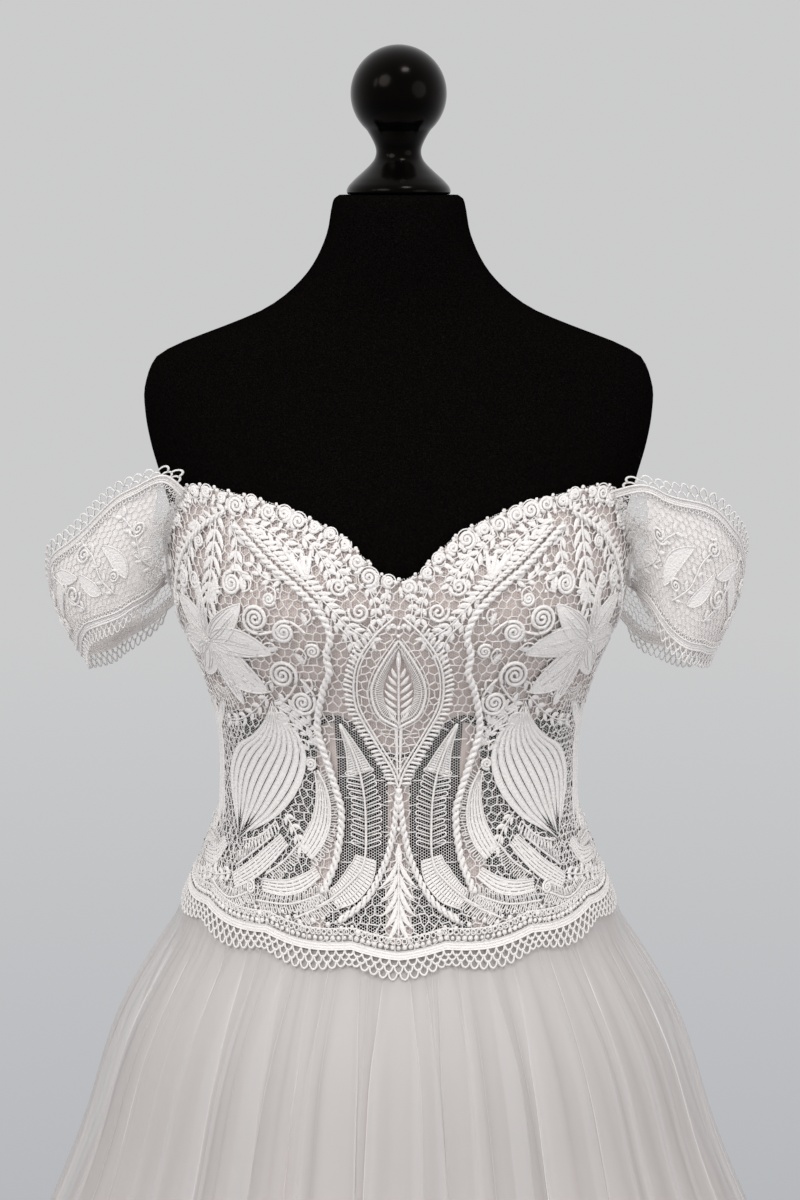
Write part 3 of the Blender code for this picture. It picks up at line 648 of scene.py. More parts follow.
def upper_motifs(cloth):
    """Sprays, a second rope and a herringbone frond between the neckline and the flower."""
    second = through(ROPE_LONG[:5], 60)
    second = second - sideways(second) * SECOND_ROPE_GAP
    rope(cloth, second[4:52:6], radius=1.15, pitch=9.0, offset=1.1)
    frond(cloth, second[2:56:6], 4.8, 12, 3.6, 0.75, -1, sweep=0.8)
    for stem, count, long in UPPER_SPRAYS:
        leafy(cloth, stem, count, long, 3.6, tilt=0.7, stem=0.7)
    for x, y in ((86, 1286), (79, 1281), (71, 1285), (63, 1284)):
        leaf(cloth, (66, 1262), (x, y), 3.8, rise=1.2, groove=0.2, outline=0, lift=0.8)
        dot(cloth, (x, y), 1.8, 0.8)
    leafy(cloth, SPRIG, 8, 15, 4.4, tilt=0.62, grow=0.45, stem=0.9)
    leafy(cloth, [(158, 1300), (166, 1284), (178, 1266), (192, 1246)], 7, 12, 4.2, tilt=0.7, grow=0.3)
    leafy(cloth, [(126, 1300), (121, 1286), (122, 1270), (116, 1262)], 5, 10, 4.0, tilt=0.7)
    leafy(cloth, [(150, 1240), (144, 1250), (132, 1254)], 3, 8, 4.0, tilt=0.7)
    rope(cloth, ROPE_OUTER, radius=1.2, pitch=10.0, offset=1.1)
    frond(cloth, ROPE_OUTER, 6.0, 10, 3.8, 0.9, 1, sweep=0.6)
    for x, y, radius, start in UPPER_SPIRALS:
        spiral(cloth, (x, y), radius, start, hand=-1 if x > 180 else 1, turns=2.2)


def flower(cloth, centre, petals):
    """Pointed petals with veins round a ring of knots."""
    for x, y, width, bend in petals:
        leaf(cloth, centre, (x, y), width, bend=bend, rise=0.7, groove=0.5, outline=0.85, lift=0.5)
        tip = np.array([x, y], float)
        chord = tip - centre
        across = unit(np.array([-chord[1], chord[0]]))
        for share, out in ((0.66, 0.13), (0.66, -0.13), (0.56, 0.27), (0.56, -0.27)):
            bow = across * width * out
            vein = [centre, centre + chord * share * 0.55 + bow, centre + chord * share * 1.25 + bow * 0.8]
            cloth.tube(through(vein, 8), 0.38, sides=4, height=1.35)
    for k in range(7):
        turn = 2 * math.pi * k / 7
        dot(cloth, (centre[0] + 2.6 * math.cos(turn), centre[1] + 2.6 * math.sin(turn)), 1.2, 1.4)
    dot(cloth, centre, 1.7, 1.8)


def edges_of(points, widths, count=24):
    """The two edges of a strip along a path whose width follows widths."""
    path = through(points, count)
    half = np.interp(np.linspace(0, 1, count), np.linspace(0, 1, len(widths)), widths)[:, None] / 2
    side = sideways(path)
    return path + side * half, path - side * half


def scrolls(cloth, spots):
    """Small leaves and hooked cords scattered over the ground, as (x, y, size, direction in degrees)."""
    for x, y, size, facing in spots:
        way = np.array([math.cos(math.radians(facing)), math.sin(math.radians(facing))])
        across = np.array([-way[1], way[0]])
        at = np.array([x, y], float)
        hook = [
            at - way * size * 0.5, at + across * size * 0.25, at + way * size * 0.45,
            at + way * size * 0.3 - across * size * 0.3,
        ]
        cloth.tube(through(hook, 14), 0.75, sides=5, height=0.8)
        foot, tip = at - way * size * 0.45, at - across * size * 0.4 + way * size * 0.2
        leaf(cloth, foot, tip, size * 0.3, bend=0.15, rise=0.8, outline=0.3)
        dot(cloth, at + across * size * 0.45, 1.3, 0.5)


WEB_CENTRE, WEB_SQUASH = np.array([150, 1182]), 0.9
RIBBONS = [
    # path, widths along it, stripes
    ([(88, 1064), (102, 1051), (116, 1040), (136, 1029)], (9, 12, 12, 10), 5),
    ([(60, 1044), (74, 1035), (88, 1031), (106, 1031)], (7, 10, 10, 8), 4),
    ([(150, 1054), (164, 1042), (186, 1040)], (7, 11, 8), 4),
]
COMBS = [
    # path, reach to the left, reach to the right, pitch, thread, loop width
    ([(76, 1062), (88, 1049), (104, 1038)], 0, 8, 3.6, 0.5, 2.0),
    ([(100, 1064), (116, 1052), (134, 1040)], 8, 0, 3.6, 0.5, 2.0),
    ([(58, 1029), (82, 1021), (112, 1020)], 7, 7, 3.8, 0.55, 2.2),
    ([(120, 1024), (140, 1018), (164, 1026)], 7, 7, 3.8, 0.55, 2.0),
    ([(166, 1052), (186, 1054), (208, 1048)], 6, 7, 3.8, 0.5, 2.0),
]
LOWER_SPRAYS = [
    # stem, pairs of leaves, leaf length, leaf width
    ([(66, 1152), (74, 1160), (88, 1168)], 4, 8, 4.0),
    ([(62, 1136), (70, 1146), (84, 1152)], 4, 7, 3.6),
    ([(160, 1040), (176, 1028), (196, 1024)], 5, 8, 4.0),
    ([(88, 1082), (80, 1072), (74, 1060)], 4, 8, 3.4),
    ([(140, 1034), (158, 1030), (176, 1030)], 5, 8, 3.6),
]
KNOTS = [
    (64, 1012), (74, 1010), (84, 1012), (96, 1010), (108, 1012), (30, 1006), (42, 1008), (52, 1010),
]


def lower_motifs(cloth):
    """The spirals, the flower, the big grooved leaf and the ribbons and combs over the trim."""
    scrolls(cloth, FILLERS)
    for x, y, radius, start, hand in SPIRALS[2:]:
        large = radius > LARGE_SPIRAL
        spiral(cloth, (x, y), radius, start, 2.7 if large else 2.1, hand, cord=1.5 if large else 1.2)
        if large:
            tail = []
            for reach, back in ((1, 0), (1.25, 0.7), (1.7, 1.1)):
                angle = math.radians(start) - hand * back
                tail.append((x + radius * reach * math.cos(angle), y + radius * reach * math.sin(angle)))
            cloth.tube(through(tail, 10), 1.0, sides=5, height=0.8)
    flower(cloth, FLOWER, PETALS)
    leaf(cloth, (160, 1240), (166, 1262), 8, rise=1.0)
    leaf(cloth, (148, 1240), (140, 1262), 7, rise=1.0)
    strands(cloth, TULIP_LEFT, TULIP_RIGHT, 10)
    strands(cloth, SIDE_LEAF_LEFT, SIDE_LEAF_RIGHT, 5)
    leaf(cloth, (214, 1168), (220, 1120), 14, bend=-0.12, rise=0.9)
    leaf(cloth, (222, 1116), (204, 1050), 16, bend=0.12, rise=0.9)
    leafy(cloth, [(100, 1172), (112, 1160), (128, 1150), (146, 1146)], 6, 9, 4.0)
    leafy(cloth, [(92, 1164), (80, 1158), (66, 1148)], 4, 8, 3.6)
    leaf(cloth, (150, 1160), (172, 1128), 10, bend=0.15, rise=0.7)
    for k in range(7):
        arc = np.radians(np.linspace(235, 318, 14))
        line = WEB_CENTRE + (12 + 5.2 * k) * np.stack([np.cos(arc), np.sin(arc) * WEB_SQUASH], -1)
        cloth.tube(line, 0.4, sides=4, height=0.35)
    for k in range(11):
        angle = math.radians(238 + 7.6 * k)
        way = np.array([math.cos(angle), math.sin(angle) * WEB_SQUASH])
        cloth.tube(WEB_CENTRE + way * np.array([[11], [44]]), 0.38, sides=4, height=0.3)
    left, right = edges_of(HORN, (2, 7, 11, 14, 15, 13))
    stripes(cloth, left, right, 5, rise=0.75, gap=0.35)
    comb(cloth, right[::-1] + (-0.5, 0), 6.0, 0, pitch=3.8, thread=0.55, wide=2.4, slant=0.1)
    cloth.tube(right, 0.6, sides=4, height=0.8)
    cloth.tube(left, 0.6, sides=4, height=0.8)
    for points, widths, count in RIBBONS:
        left, right = edges_of(points, widths)
        stripes(cloth, left, right, count, rise=0.8, gap=0.35)
        cloth.tube(left, 0.6, sides=4, height=0.8)
        cloth.tube(right, 0.6, sides=4, height=0.8)
    for points, *loops in COMBS:
        comb(cloth, points, *loops)
    for points, *leaves in LOWER_SPRAYS[:3]:
        leafy(cloth, points, *leaves)
    for x, y in KNOTS:
        dot(cloth, (x, y), 2.0, 0.5)
        dot(cloth, (x + 4, y + 3.5), 1.4, 0.5)
    for x, y, radius, start in ((176, 1062, 7, 100), (203, 1064, 7, 10), (118, 1028, 5.5, 60)):
        spiral(cloth, (x, y), radius, start)
    for points, *leaves in LOWER_SPRAYS[3:]:
        leafy(cloth, points, *leaves)
    fringe(cloth, [(96, 1076), (110, 1064), (128, 1058)], -1, long=7.0, pitch=3.2, slant=0.2, thick=0.8)


def feather(cloth):
    """A long feather of ribs and loops beside the centre."""
    spine = through(FEATHER, 100)
    left, right = edges_of(FEATHER[:3], (1, 9, 19))
    ribbed(cloth, left, right, pitch=1.9, rise=0.55, gap=0.35)
    low_left, low_right = edges_of([(24, 1056), (27, 1046), (36, 1034), (48, 1026)], (15, 20, 19, 13))
    ribbed(cloth, low_left, low_right, pitch=1.9, rise=0.55, gap=0.35)
    for share in (0.0, 0.25, 0.5, 0.75, 1.0):
        cloth.tube(low_left + (low_right - low_left) * share, 0.5, sides=4, height=0.8)
    cloth.tube(spine[:92:2], 0.8, sides=5, height=1.4)
    for share in (0.33, 0.67):
        cloth.tube(left + (right - left) * share, 0.45, sides=4, height=1.15)
    comb(cloth, [(28, 1115), (25, 1098), (24, 1080), (24, 1058)], 11.5, 11.5, 4.8, 0.62, 3.0)
    comb(cloth, [(48, 1027), (60, 1020), (78, 1012)], 8, 8, 3.6, 0.55, 2.2)
    cloth.tube(left, 0.6, sides=4, height=0.8)
    cloth.tube(right, 0.6, sides=4, height=0.8)


def centre_motifs(cloth):
    """One side of the pattern about the centre line. The middle pieces are drawn once by middle_motifs."""
    rope(cloth, ROPE_LONG, radius=1.75, pitch=11.5, offset=1.6)
    rope(cloth, ROPE_CENTRE, radius=1.5, pitch=11.0, offset=1.4)
    fringe(cloth, SCROLL_CORD[1:], 1, long=8.0, pitch=3.5, slant=-0.5, thick=1.3, cord=0.9)
    inner = through(SCROLL_CORD[1:], 50)
    cloth.tube(inner[2:-2] - sideways(inner)[2:-2] * 2.4, 0.7, sides=5, height=0.7)
    cloth.tube(through(SCROLL_CORD[:3], 12), 0.9, height=0.8)
    for x, y, radius, start, hand in SPIRALS[:2]:
        spiral(cloth, (x, y), radius, start, turns=1.9, hand=hand, cord=1.2)
    feather(cloth)
    outline = through(MEDALLION, 44)
    cloth.tube(outline, 1.0, sides=5, height=0.9, taper=False)
    side = sideways(outline) * 2.6
    cloth.tube(outline + side, 0.5, sides=5, height=0.5, taper=False)
    for k in range(2, 42):
        way = unit(np.array([0, 1177.0]) - outline[k])
        cloth.tube(outline[k] + way * np.array([[0.5], [8.5]]), 0.42, sides=4, height=0.6)
    cloth.tube(outline - sideways(outline) * 3.0, 0.5, sides=4, height=0.6, taper=False)
    for k in range(7):
        y, reach = 1156 + 5.6 * k, 10.5 * math.sin(math.pi * (0.25 + 0.1 * k))
        leaf(cloth, (0.6, y), (reach, y + 8.5), 3.0, bend=-0.16, rise=0.8, groove=0.1, outline=0)
    for y in (1146, 1137, 1128):
        cloth.tube(through([(2, y), (14 - (1146 - y) * 0.35, y + 1.5)], 4), 0.42, sides=4, height=0.2)
    for k in range(5):
        y = 1046 - 9 * k
        leaf(cloth, (0.8, y + 9), (13.5 - 1.0 * k, y - 10), 3.6, bend=-0.22, rise=0.9, groove=0.2, outline=0)
        cloth.tube(through([(1.0, y + 6), (7, y + 1), (17 - k, y - 3)], 8), 0.5, sides=4, height=0.6)
    for y, x in ((1142, 51), (1128, 46), (1114, 44), (1098, 40), (1082, 38), (1066, 40), (1052, 43)):
        cloth.tube(through([(x, y), (x - 13, y + rng.uniform(-2, 2))], 4), 0.45, sides=4, height=0.2)
    for y, x in ((1130, 22), (1112, 18), (1094, 15), (1074, 13), (1058, 14)):
        cloth.tube(through([(x, y), (x - 8, y + rng.uniform(-2, 3))], 4), 0.45, sides=4, height=0.2)


def middle_motifs(cloth):
    cloth.tube(through([(0, 1152), (0, 1180), (0, 1206)], 14), 0.8, sides=5, height=1.1)
    leaf(cloth, (0, 1196), (0, 1212), 3.4, rise=0.8, outline=0)
    left, right = edges_of([(0, 1152), (0, 1132), (0, 1110)], (7, 5, 3))
    stripes(cloth, left, right, 2, rise=1.0, gap=0.8)
    cloth.tube(through([(0, 1056), (0, 1030), (0, 1003)], 14), 0.8, height=0.8)
    for y in (1100, 1093, 1085, 1076):
        dot(cloth, (0, y), 1.9, 0.5)
    leaf(cloth, (0, 1050), (0, 1066), 5, rise=0.9, outline=0)
    for y in (1228, 1222):
        dot(cloth, (0, y), 1.6, 0.5)


def neckline_path(first, last, count=200):
    """The neckline on the front cloth between two angles in degrees, in millimetres."""
    angle = np.radians(np.linspace(first, last, count))
    z = edge(NECKLINE, angle)
    return through(np.stack([cloth_x(angle, z) * 1000, z * 1000], -1), count)


def cloth_x(angle, z):
    """Metres along the cloth from the centre front at an angle."""
    i = np.clip((np.asarray(z) - LEVELS[0]) / (LEVELS[1] - LEVELS[0]), 0, len(LEVELS) - 1.001)
    j = np.clip((np.asarray(angle) + math.pi) / (ANGLES[1] - ANGLES[0]), 0, len(ANGLES) - 1.001)
    i0, j0 = i.astype(int), j.astype(int)
    fi, fj = i - i0, j - j0
    low = ARC[i0, j0] * (1 - fj) + ARC[i0, j0 + 1] * fj
    high = ARC[i0 + 1, j0] * (1 - fj) + ARC[i0 + 1, j0 + 1] * fj
    return low * (1 - fi) + high * fi


def neckline_trim(cloth, path, hand=-1):
    """A row of scrolls just under an edge, with knots between them. hand is the side the cloth lies on."""
    count = int(length_of(path) / NECKLINE_PITCH)
    side = sideways(path) * hand
    at = lambda share: int(round(np.clip(share, 0, 1) * (len(path) - 1)))
    for k in range(count):
        i = at((k + 0.5 + rng.uniform(-0.12, 0.12)) / count)
        radius = rng.uniform(4.6, 7.6)
        centre = path[i] + side[i] * (radius - 1.8 + rng.uniform(-0.8, 2.2))
        facing = math.degrees(math.atan2(side[i][1], side[i][0]))
        spiral(cloth, centre, radius, facing + rng.uniform(-50, 50), 2.1, 1 if k % 2 else -1, cord=1.4)
        ring = np.linspace(0, 2 * math.pi, 17)
        rim = np.stack([centre[0] + radius * np.cos(ring), centre[1] + radius * np.sin(ring)], -1)
        if k % 3:
            cloth.tube(rim, 0.6, sides=4, height=0.6, taper=False)
        beside = path[i] + side[i] * (2 * radius + 3.0)
        foot, tip = centre + side[i] * radius * 0.8, beside + (rng.uniform(-5, 5), 0)
        leaf(cloth, foot, tip, 3.2, rise=0.8, outline=0)
        j = at((k + 1) / count)
        knot = path[j] + side[j] * 0.8
        for dx, dy in ((0, 0), (2.6, -1.0), (-2.5, -1.2)):
            out = knot - side[j] * (1.6 if dx == 0 else -0.4) + (dx, dy * 0.4)
            dot(cloth, out, 1.55 + 0.25 * rng.uniform(-1, 1), 0.5)
        cloth.tube(path[[i, j]] + side[[i, j]] * 1.4, 0.8, height=0.8)
        low = path[j] + side[j] * 11.0
        dot(cloth, low, 1.7, 0.4)
        leaf(cloth, path[j] + side[j] * 4, low, 3.4, rise=0.8, outline=0)


def low_side_zone(points):
    """True in the closely worked parts of the front under the cups, at the sides and over the trim."""
    x, z = np.abs(points[:, 0]), points[:, 1]
    angle = angle_at(points[:, 0] / 1000, z / 1000)
    inside = (np.abs(angle) < math.radians(90)) & (z > edge(HEM, angle) * 1000 + 12)
    worked = (x > 128) & (z < 1146) | (x > 100) & (z < 1030)
    return inside & worked & ~in_polygon(np.stack([x, z], -1), TULIP)


def front_zone(points):
    """True where the front's hexagonal net shows."""
    x, z = points[:, 0], points[:, 1]
    angle = angle_at(x / 1000, z / 1000)
    inside = (np.abs(angle) < math.radians(90)) & (z < edge(NECKLINE, angle) * 1000 - 6)
    inside &= z > edge(HEM, angle) * 1000 + 12
    mirrored = np.stack([np.abs(x), z], -1)
    inside &= ~in_polygon(mirrored, FEATHER_ZONE)
    inside &= ~in_polygon(mirrored, [*MEDALLION, (-3, 1152), (-3, 1219)])
    inside &= ~near_path(mirrored, np.array([[157, 1208], [150, 1200], [165, 1200]]), 13)
    inside &= ~in_polygon(mirrored, TULIP)
    return inside


# ---------------------------------------------------------------- pieces and materials


def piece(name, points, faces, finish, stands_for=(), cloth=None, thick=None, fold_highlight=None):
    """One smooth mesh that rides on the root. cloth is (n, 3): where each point lies on flat cloth, in mm."""
    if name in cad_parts:
        name += "_fine"
    mesh = bpy.data.meshes.new(name)
    faces = np.asarray(faces, np.int32)
    mesh.vertices.add(len(points))
    mesh.vertices.foreach_set("co", np.asarray(points, np.float32).ravel())
    mesh.loops.add(faces.size)
    mesh.loops.foreach_set("vertex_index", faces.ravel())
    mesh.polygons.add(len(faces))
    mesh.polygons.foreach_set("loop_start", np.arange(0, faces.size, faces.shape[1], dtype=np.int32))
    mesh.update(calc_edges=True)
    mesh.validate()
    mesh.shade_smooth()
    for label, values in (("cloth", cloth), ("thick", thick), ("fold_highlight", fold_highlight)):
        if values is not None and len(mesh.vertices) == len(points):
            kind, key = ("FLOAT_VECTOR", "vector") if np.ndim(values) == 2 else ("FLOAT", "value")
            field = mesh.attributes.new(label, kind, "POINT")
            field.data.foreach_set(key, np.asarray(values, np.float32).ravel())
    mesh.materials.append(finish)
    made = bpy.data.objects.new(name, mesh)
    bpy.context.scene.collection.objects.link(made)
    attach(made, "root")
    if stands_for:
        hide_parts(*stands_for)
    return made


def grid_faces(rows, columns, closed=False):
    """Quads of a grid of points, outward when rows go up and columns go to the viewer's right."""
    index = np.arange(rows * columns).reshape(rows, columns)
    if closed:
        index = np.concatenate([index, index[:, :1]], 1)
    return np.stack([index[:-1, :-1], index[:-1, 1:], index[1:, 1:], index[1:, :-1]], -1).reshape(-1, 4)


def node_material(name, colour, roughness, **sockets):
    made = bpy.data.materials.new(name)
    made.use_nodes = True
    shader = made.node_tree.nodes["Principled BSDF"]
    shader.inputs["Base Color"].default_value = (*colour, 1)
    shader.inputs["Roughness"].default_value = roughness
    for socket, value in sockets.items():
        shader.inputs[socket.replace("_", " ").title().replace("Ior", "IOR")].default_value = value
    return made, made.node_tree.nodes, made.node_tree.links, shader


def math_node(nodes, links, operation, a, b=None):
    node = nodes.new("ShaderNodeMath")
    node.operation = operation
    for socket, value in ((0, a), (1, b)):
        if value is None:
            continue
        if isinstance(value, (int, float)):
            node.inputs[socket].default_value = value
        else:
            links.new(value, node.inputs[socket])
    return node.outputs[0]


def noise(nodes, links, scale, detail=2.0, stretch=(1, 1, 1)):
    where = nodes.new("ShaderNodeTexCoord")
    spread = nodes.new("ShaderNodeMapping")
    spread.inputs["Scale"].default_value = stretch
    links.new(where.outputs["Object"], spread.inputs["Vector"])
    node = nodes.new("ShaderNodeTexNoise")
    node.inputs["Scale"].default_value = scale
    node.inputs["Detail"].default_value = detail
    links.new(spread.outputs["Vector"], node.inputs["Vector"])
    return node.outputs["Fac"]


def bump(nodes, links, shader, height, distance, strength=1.0):
    node = nodes.new("ShaderNodeBump")
    node.inputs["Strength"].default_value = strength
    node.inputs["Distance"].default_value = distance
    links.new(height, node.inputs["Height"])
    links.new(node.outputs["Normal"], shader.inputs["Normal"])


def shaded(nodes, links, shader, factor, dark, light, socket="Base Color"):
    """Blends the colour between two by a factor."""
    mix = nodes.new("ShaderNodeMix")
    mix.data_type = "RGBA"
    mix.inputs["A"].default_value = (*dark, 1)
    mix.inputs["B"].default_value = (*light, 1)
    links.new(factor, mix.inputs["Factor"])
    links.new(mix.outputs["Result"], shader.inputs[socket])


def lace_material():
    made, nodes, links, shader = node_material("lace", (0.80, 0.785, 0.775), 0.62, sheen_weight=0.15)
    grain = noise(nodes, links, 620.0, 3.0)
    bump(nodes, links, shader, grain, 0.0012, 1.0)
    shaded(nodes, links, shader, grain, LACE_DARK, LACE_LIGHT)
    return made


def net_material():
    """Fine tulle: hexagonal holes of NET_MESH millimetres in flat cloth."""
    made, nodes, links, shader = node_material("net", NET_COLOUR, 0.8)
    where = nodes.new("ShaderNodeAttribute")
    where.attribute_name = "cloth"
    total = None
    for k in range(3):
        angle = math.radians(60 * k)
        size = 4 * math.pi / math.sqrt(3) / NET_MESH
        wave = nodes.new("ShaderNodeVectorMath")
        wave.operation = "DOT_PRODUCT"
        wave.inputs[1].default_value = (size * math.cos(angle), size * math.sin(angle), 0)
        links.new(where.outputs["Vector"], wave.inputs[0])
        cosine = math_node(nodes, links, "COSINE", wave.outputs["Value"])
        total = cosine if total is None else math_node(nodes, links, "ADD", total, cosine)
    thread = math_node(nodes, links, "SUBTRACT", NET_HOLE, total)
    solid = nodes.new("ShaderNodeClamp")
    links.new(math_node(nodes, links, "MULTIPLY", thread, 2.5), solid.inputs["Value"])
    links.new(solid.outputs["Result"], shader.inputs["Alpha"])
    return made


def tulle_material(name, colour, light, single):
    """Sheer gathered tulle. Its colour is blended from colour to light where the cloth turns edge-on in its
    folds, a painted highlight. single is one flat layer's cover, and thick says how many layers a point has."""
    made, nodes, links, shader = node_material(name, colour, 0.85)
    fold_highlight_node = nodes.new("ShaderNodeAttribute")
    fold_highlight_node.attribute_name = "fold_highlight"
    # painted highlight: the colour goes from colour to light as the cloth turns edge-on in its folds
    shaded(nodes, links, shader, fold_highlight_node.outputs["Fac"], colour, light)
    where = nodes.new("ShaderNodeAttribute")
    where.attribute_name = "thick"
    left_open = math_node(nodes, links, "POWER", 1 - single, where.outputs["Fac"])
    links.new(math_node(nodes, links, "SUBTRACT", 1.0, left_open), shader.inputs["Alpha"])
    return made


def plain_cloth(name, colour, grain_scale=1500.0, grain=0.0002, roughness=0.85, **sockets):
    made, nodes, links, shader = node_material(name, colour, roughness, **sockets)
    bump(nodes, links, shader, noise(nodes, links, grain_scale, 2.0), grain, 0.6)
    return made


def jersey_material():
    made, nodes, links, shader = node_material("form_jersey", JERSEY_DARK, 0.95)
    grain = noise(nodes, links, 1100.0, 3.0)
    sharp = math_node(nodes, links, "POWER", grain, 3.0)
    shaded(nodes, links, shader, math_node(nodes, links, "MULTIPLY", sharp, 2.2), JERSEY_DARK, JERSEY_LIGHT)
    shader.inputs["Specular IOR Level"].default_value = 0.0
    bump(nodes, links, shader, grain, 0.0004, 0.7)
    return made


def lacquer_material():
    made, nodes, links, shader = node_material("black_lacquer", (0.0010, 0.0008, 0.0007), 0.17)
    shader.inputs["Specular Tint"].default_value = (1.0, 0.90, 0.84, 1)
    rim = nodes.new("ShaderNodeLayerWeight")
    rim.inputs["Blend"].default_value = 0.5
    gloss = math_node(nodes, links, "POWER", rim.outputs["Facing"], 2.0)
    gloss = math_node(nodes, links, "ADD", math_node(nodes, links, "MULTIPLY", gloss, 0.75), 0.035)
    links.new(gloss, shader.inputs["Specular IOR Level"])
    return made


LACE_DARK, LACE_LIGHT = (0.80, 0.772, 0.758), (0.90, 0.872, 0.858)
NET_COLOUR, NET_MESH, NET_HOLE = (0.82, 0.795, 0.785), 2.0, -0.76
NUDE = (0.66, 0.545, 0.50)
BLUSH = (0.74, 0.665, 0.64)
# The sleeve lining is a pale blush made lighter still: partly its own colour, partly painted light standing
# in for light shining through the thin sleeve.
SLEEVE_BLUSH_AND_PAINTED_LIGHT = (0.95, 0.905, 0.885)
JERSEY_DARK, JERSEY_LIGHT = (0.0006, 0.0005, 0.0005), (0.008, 0.0066, 0.0061)
LACE_IN, SLEEVE_IN = -1.2, -0.8

LACE = lace_material()
NET = net_material()
SKIN = plain_cloth("nude_lining", NUDE)
LINING = plain_cloth("blush_lining", BLUSH)
SLEEVE_LINING = plain_cloth("sleeve_lining", SLEEVE_BLUSH_AND_PAINTED_LIGHT, 900.0, 0.0006, alpha=0.74)
# The second colour of each tulle is a painted highlight, laid where the cloth turns edge-on in its folds.
TULLE = tulle_material("tulle", (0.675, 0.648, 0.640), (0.97, 0.945, 0.935), 0.34)
TULLE_UNDER = tulle_material("tulle_under", (0.63, 0.585, 0.572), (0.84, 0.80, 0.79), 0.36)
JERSEY = jersey_material()
SATIN = plain_cloth("covered_button", (0.78, 0.765, 0.755), 2200.0, 0.0001, 0.45, sheen_weight=0.2)
LACQUER = lacquer_material()
METAL = node_material("black_metal", (0.02, 0.02, 0.02), 0.42, metallic=0.0)[0]

# ---------------------------------------------------------------- the lace bodice

HEM = [(0, 0.982), (35, 0.990), (60, 0.998), (90, 1.006), (135, 1.004), (180, 0.996)]
SCALLOPS_PER_QUARTER, SCALLOP_DEPTH = 3.5, 0.010
BAND_ABOVE, BAND_HANG, BAND_WIDTH, LOOP_HANG = 0.0100, 0.36, 0.0056, 0.72
CUP_EDGE, CUP_EDGE_GAP = [(0, 0.50), (17, 0.475), (32, 0.54), (50, 0.565), (90, 0.565)], 0.006
NET_DEPTH, NUDE_DEPTH, SEAM_HALF = 0.0026, 0.0044, 0.002
BONING = {"center": 0, "left": -23, "right": 23}
BONING_HALF = 3.4
FRONT_END, BACK_START, LAP_ABOVE, LAP_BELOW = 89.8, 90.2, 0.0035, 0.002
BUTTON_COUNT = 9
BUTTON_RADIUS, BUTTON_HEIGHT = 0.0055, 0.0040

HEM_TURN = np.linspace(0, math.pi, 721)
SIDE_SEAM = 360  # the place in HEM_TURN of the side seam
HEM_LINE = on_rings(BODICE, HEM_TURN, edge(HEM, HEM_TURN))
HEM_RUN = np.concatenate([[0], np.cumsum(np.linalg.norm(np.diff(HEM_LINE, axis=0), axis=1))])


def hang(angle):
    """How far the trim hangs below its points, in metres."""
    run, side = np.interp(np.abs(wrapped(angle)), HEM_TURN, HEM_RUN), HEM_RUN[SIDE_SEAM]
    quarters = np.where(run < side, run / side, 1 + (run - side) / (HEM_RUN[-1] - side))
    return SCALLOP_DEPTH * np.abs(np.cos(math.pi * quarters * SCALLOPS_PER_QUARTER))


def flat_line(height, first, last, count, back=False):
    """A line round the body, height(angle) in metres, as (x, y) millimetres on the front or back cloth."""
    angle = np.radians(np.linspace(first, last, count))
    z = height(angle)
    x = cloth_x(angle, z)
    if back:
        x = np.where(x >= 0, x - half_round(z), x + half_round(z))
    return np.stack([x * 1000, z * 1000], -1)


def band_low(angle):
    return edge(HEM, angle) + BAND_ABOVE - BAND_HANG * hang(angle)


def trim_top(angle):
    """Where the trim's band starts, under the lace."""
    return band_low(angle) + BAND_WIDTH


def hem_trim(first, last, back=False):
    cloth = Cloth()
    count = int(abs(last - first) * 3) + 1
    top = flat_line(trim_top, first, last, count, back)
    low = flat_line(band_low, first, last, count, back)
    end = flat_line(lambda a: edge(HEM, a) + 0.0015 - LOOP_HANG * hang(a), first, last, count, back)
    v = np.linspace(0, 1, 17)
    ripple = 0.5 + 0.5 * np.cos(2 * math.pi * 3 * v)
    rows = np.empty((count, 17, 3))
    rows[..., :2] = low[:, None] * (1 - v)[:, None] + top[:, None] * v[:, None]
    rows[..., 2] = 0.2 + 1.1 * ripple * np.where((v < 0.2) | (v > 0.85), 1.25, 0.8)
    cloth.grid(rows[:, ::-1])
    path = through(low, 400)
    depth = 0.8 + np.array([np.linalg.norm(end - p, axis=1).min() for p in path[::4]])
    hand = -1 if path[-1, 0] > path[0, 0] else 1
    scale_loops(cloth, path, depth, pitch=6.6, thread=0.80, rows=3, hand=hand, height=1.1)
    fine_top = through(top, 400)
    above = lambda up: fine_top - sideways(fine_top) * hand * up
    for x, y in through(above(2.4), int(length_of(top) / 4.4)):
        dot(cloth, (x, y), 1.75 + 0.3 * rng.uniform(-1, 1), 0.4)
    border_row(cloth, above(6.2), pitch=4.2, radius=1.7)
    cloth.tube(above(8.4)[::2], 0.6, sides=5, height=0.7)
    return cloth


def kept(cloth, inside):
    """The points and faces of what lies inside."""
    points, faces = cloth.flat()
    keep = inside(points)[faces].all(1)
    faces = faces[keep]
    used = np.unique(faces)
    turn = np.full(len(points), -1)
    turn[used] = np.arange(len(used))
    return points[used], turn[faces]


def lay(name, cloth, place, inside=None, lower=LACE_IN, stands_for=(), flip=False):
    points, faces = kept(cloth, inside) if inside else cloth.flat()
    laid = place(points + np.array([0, 0, lower]))
    return piece(name, laid, faces[:, ::-1] if flip else faces, LACE, stands_for)


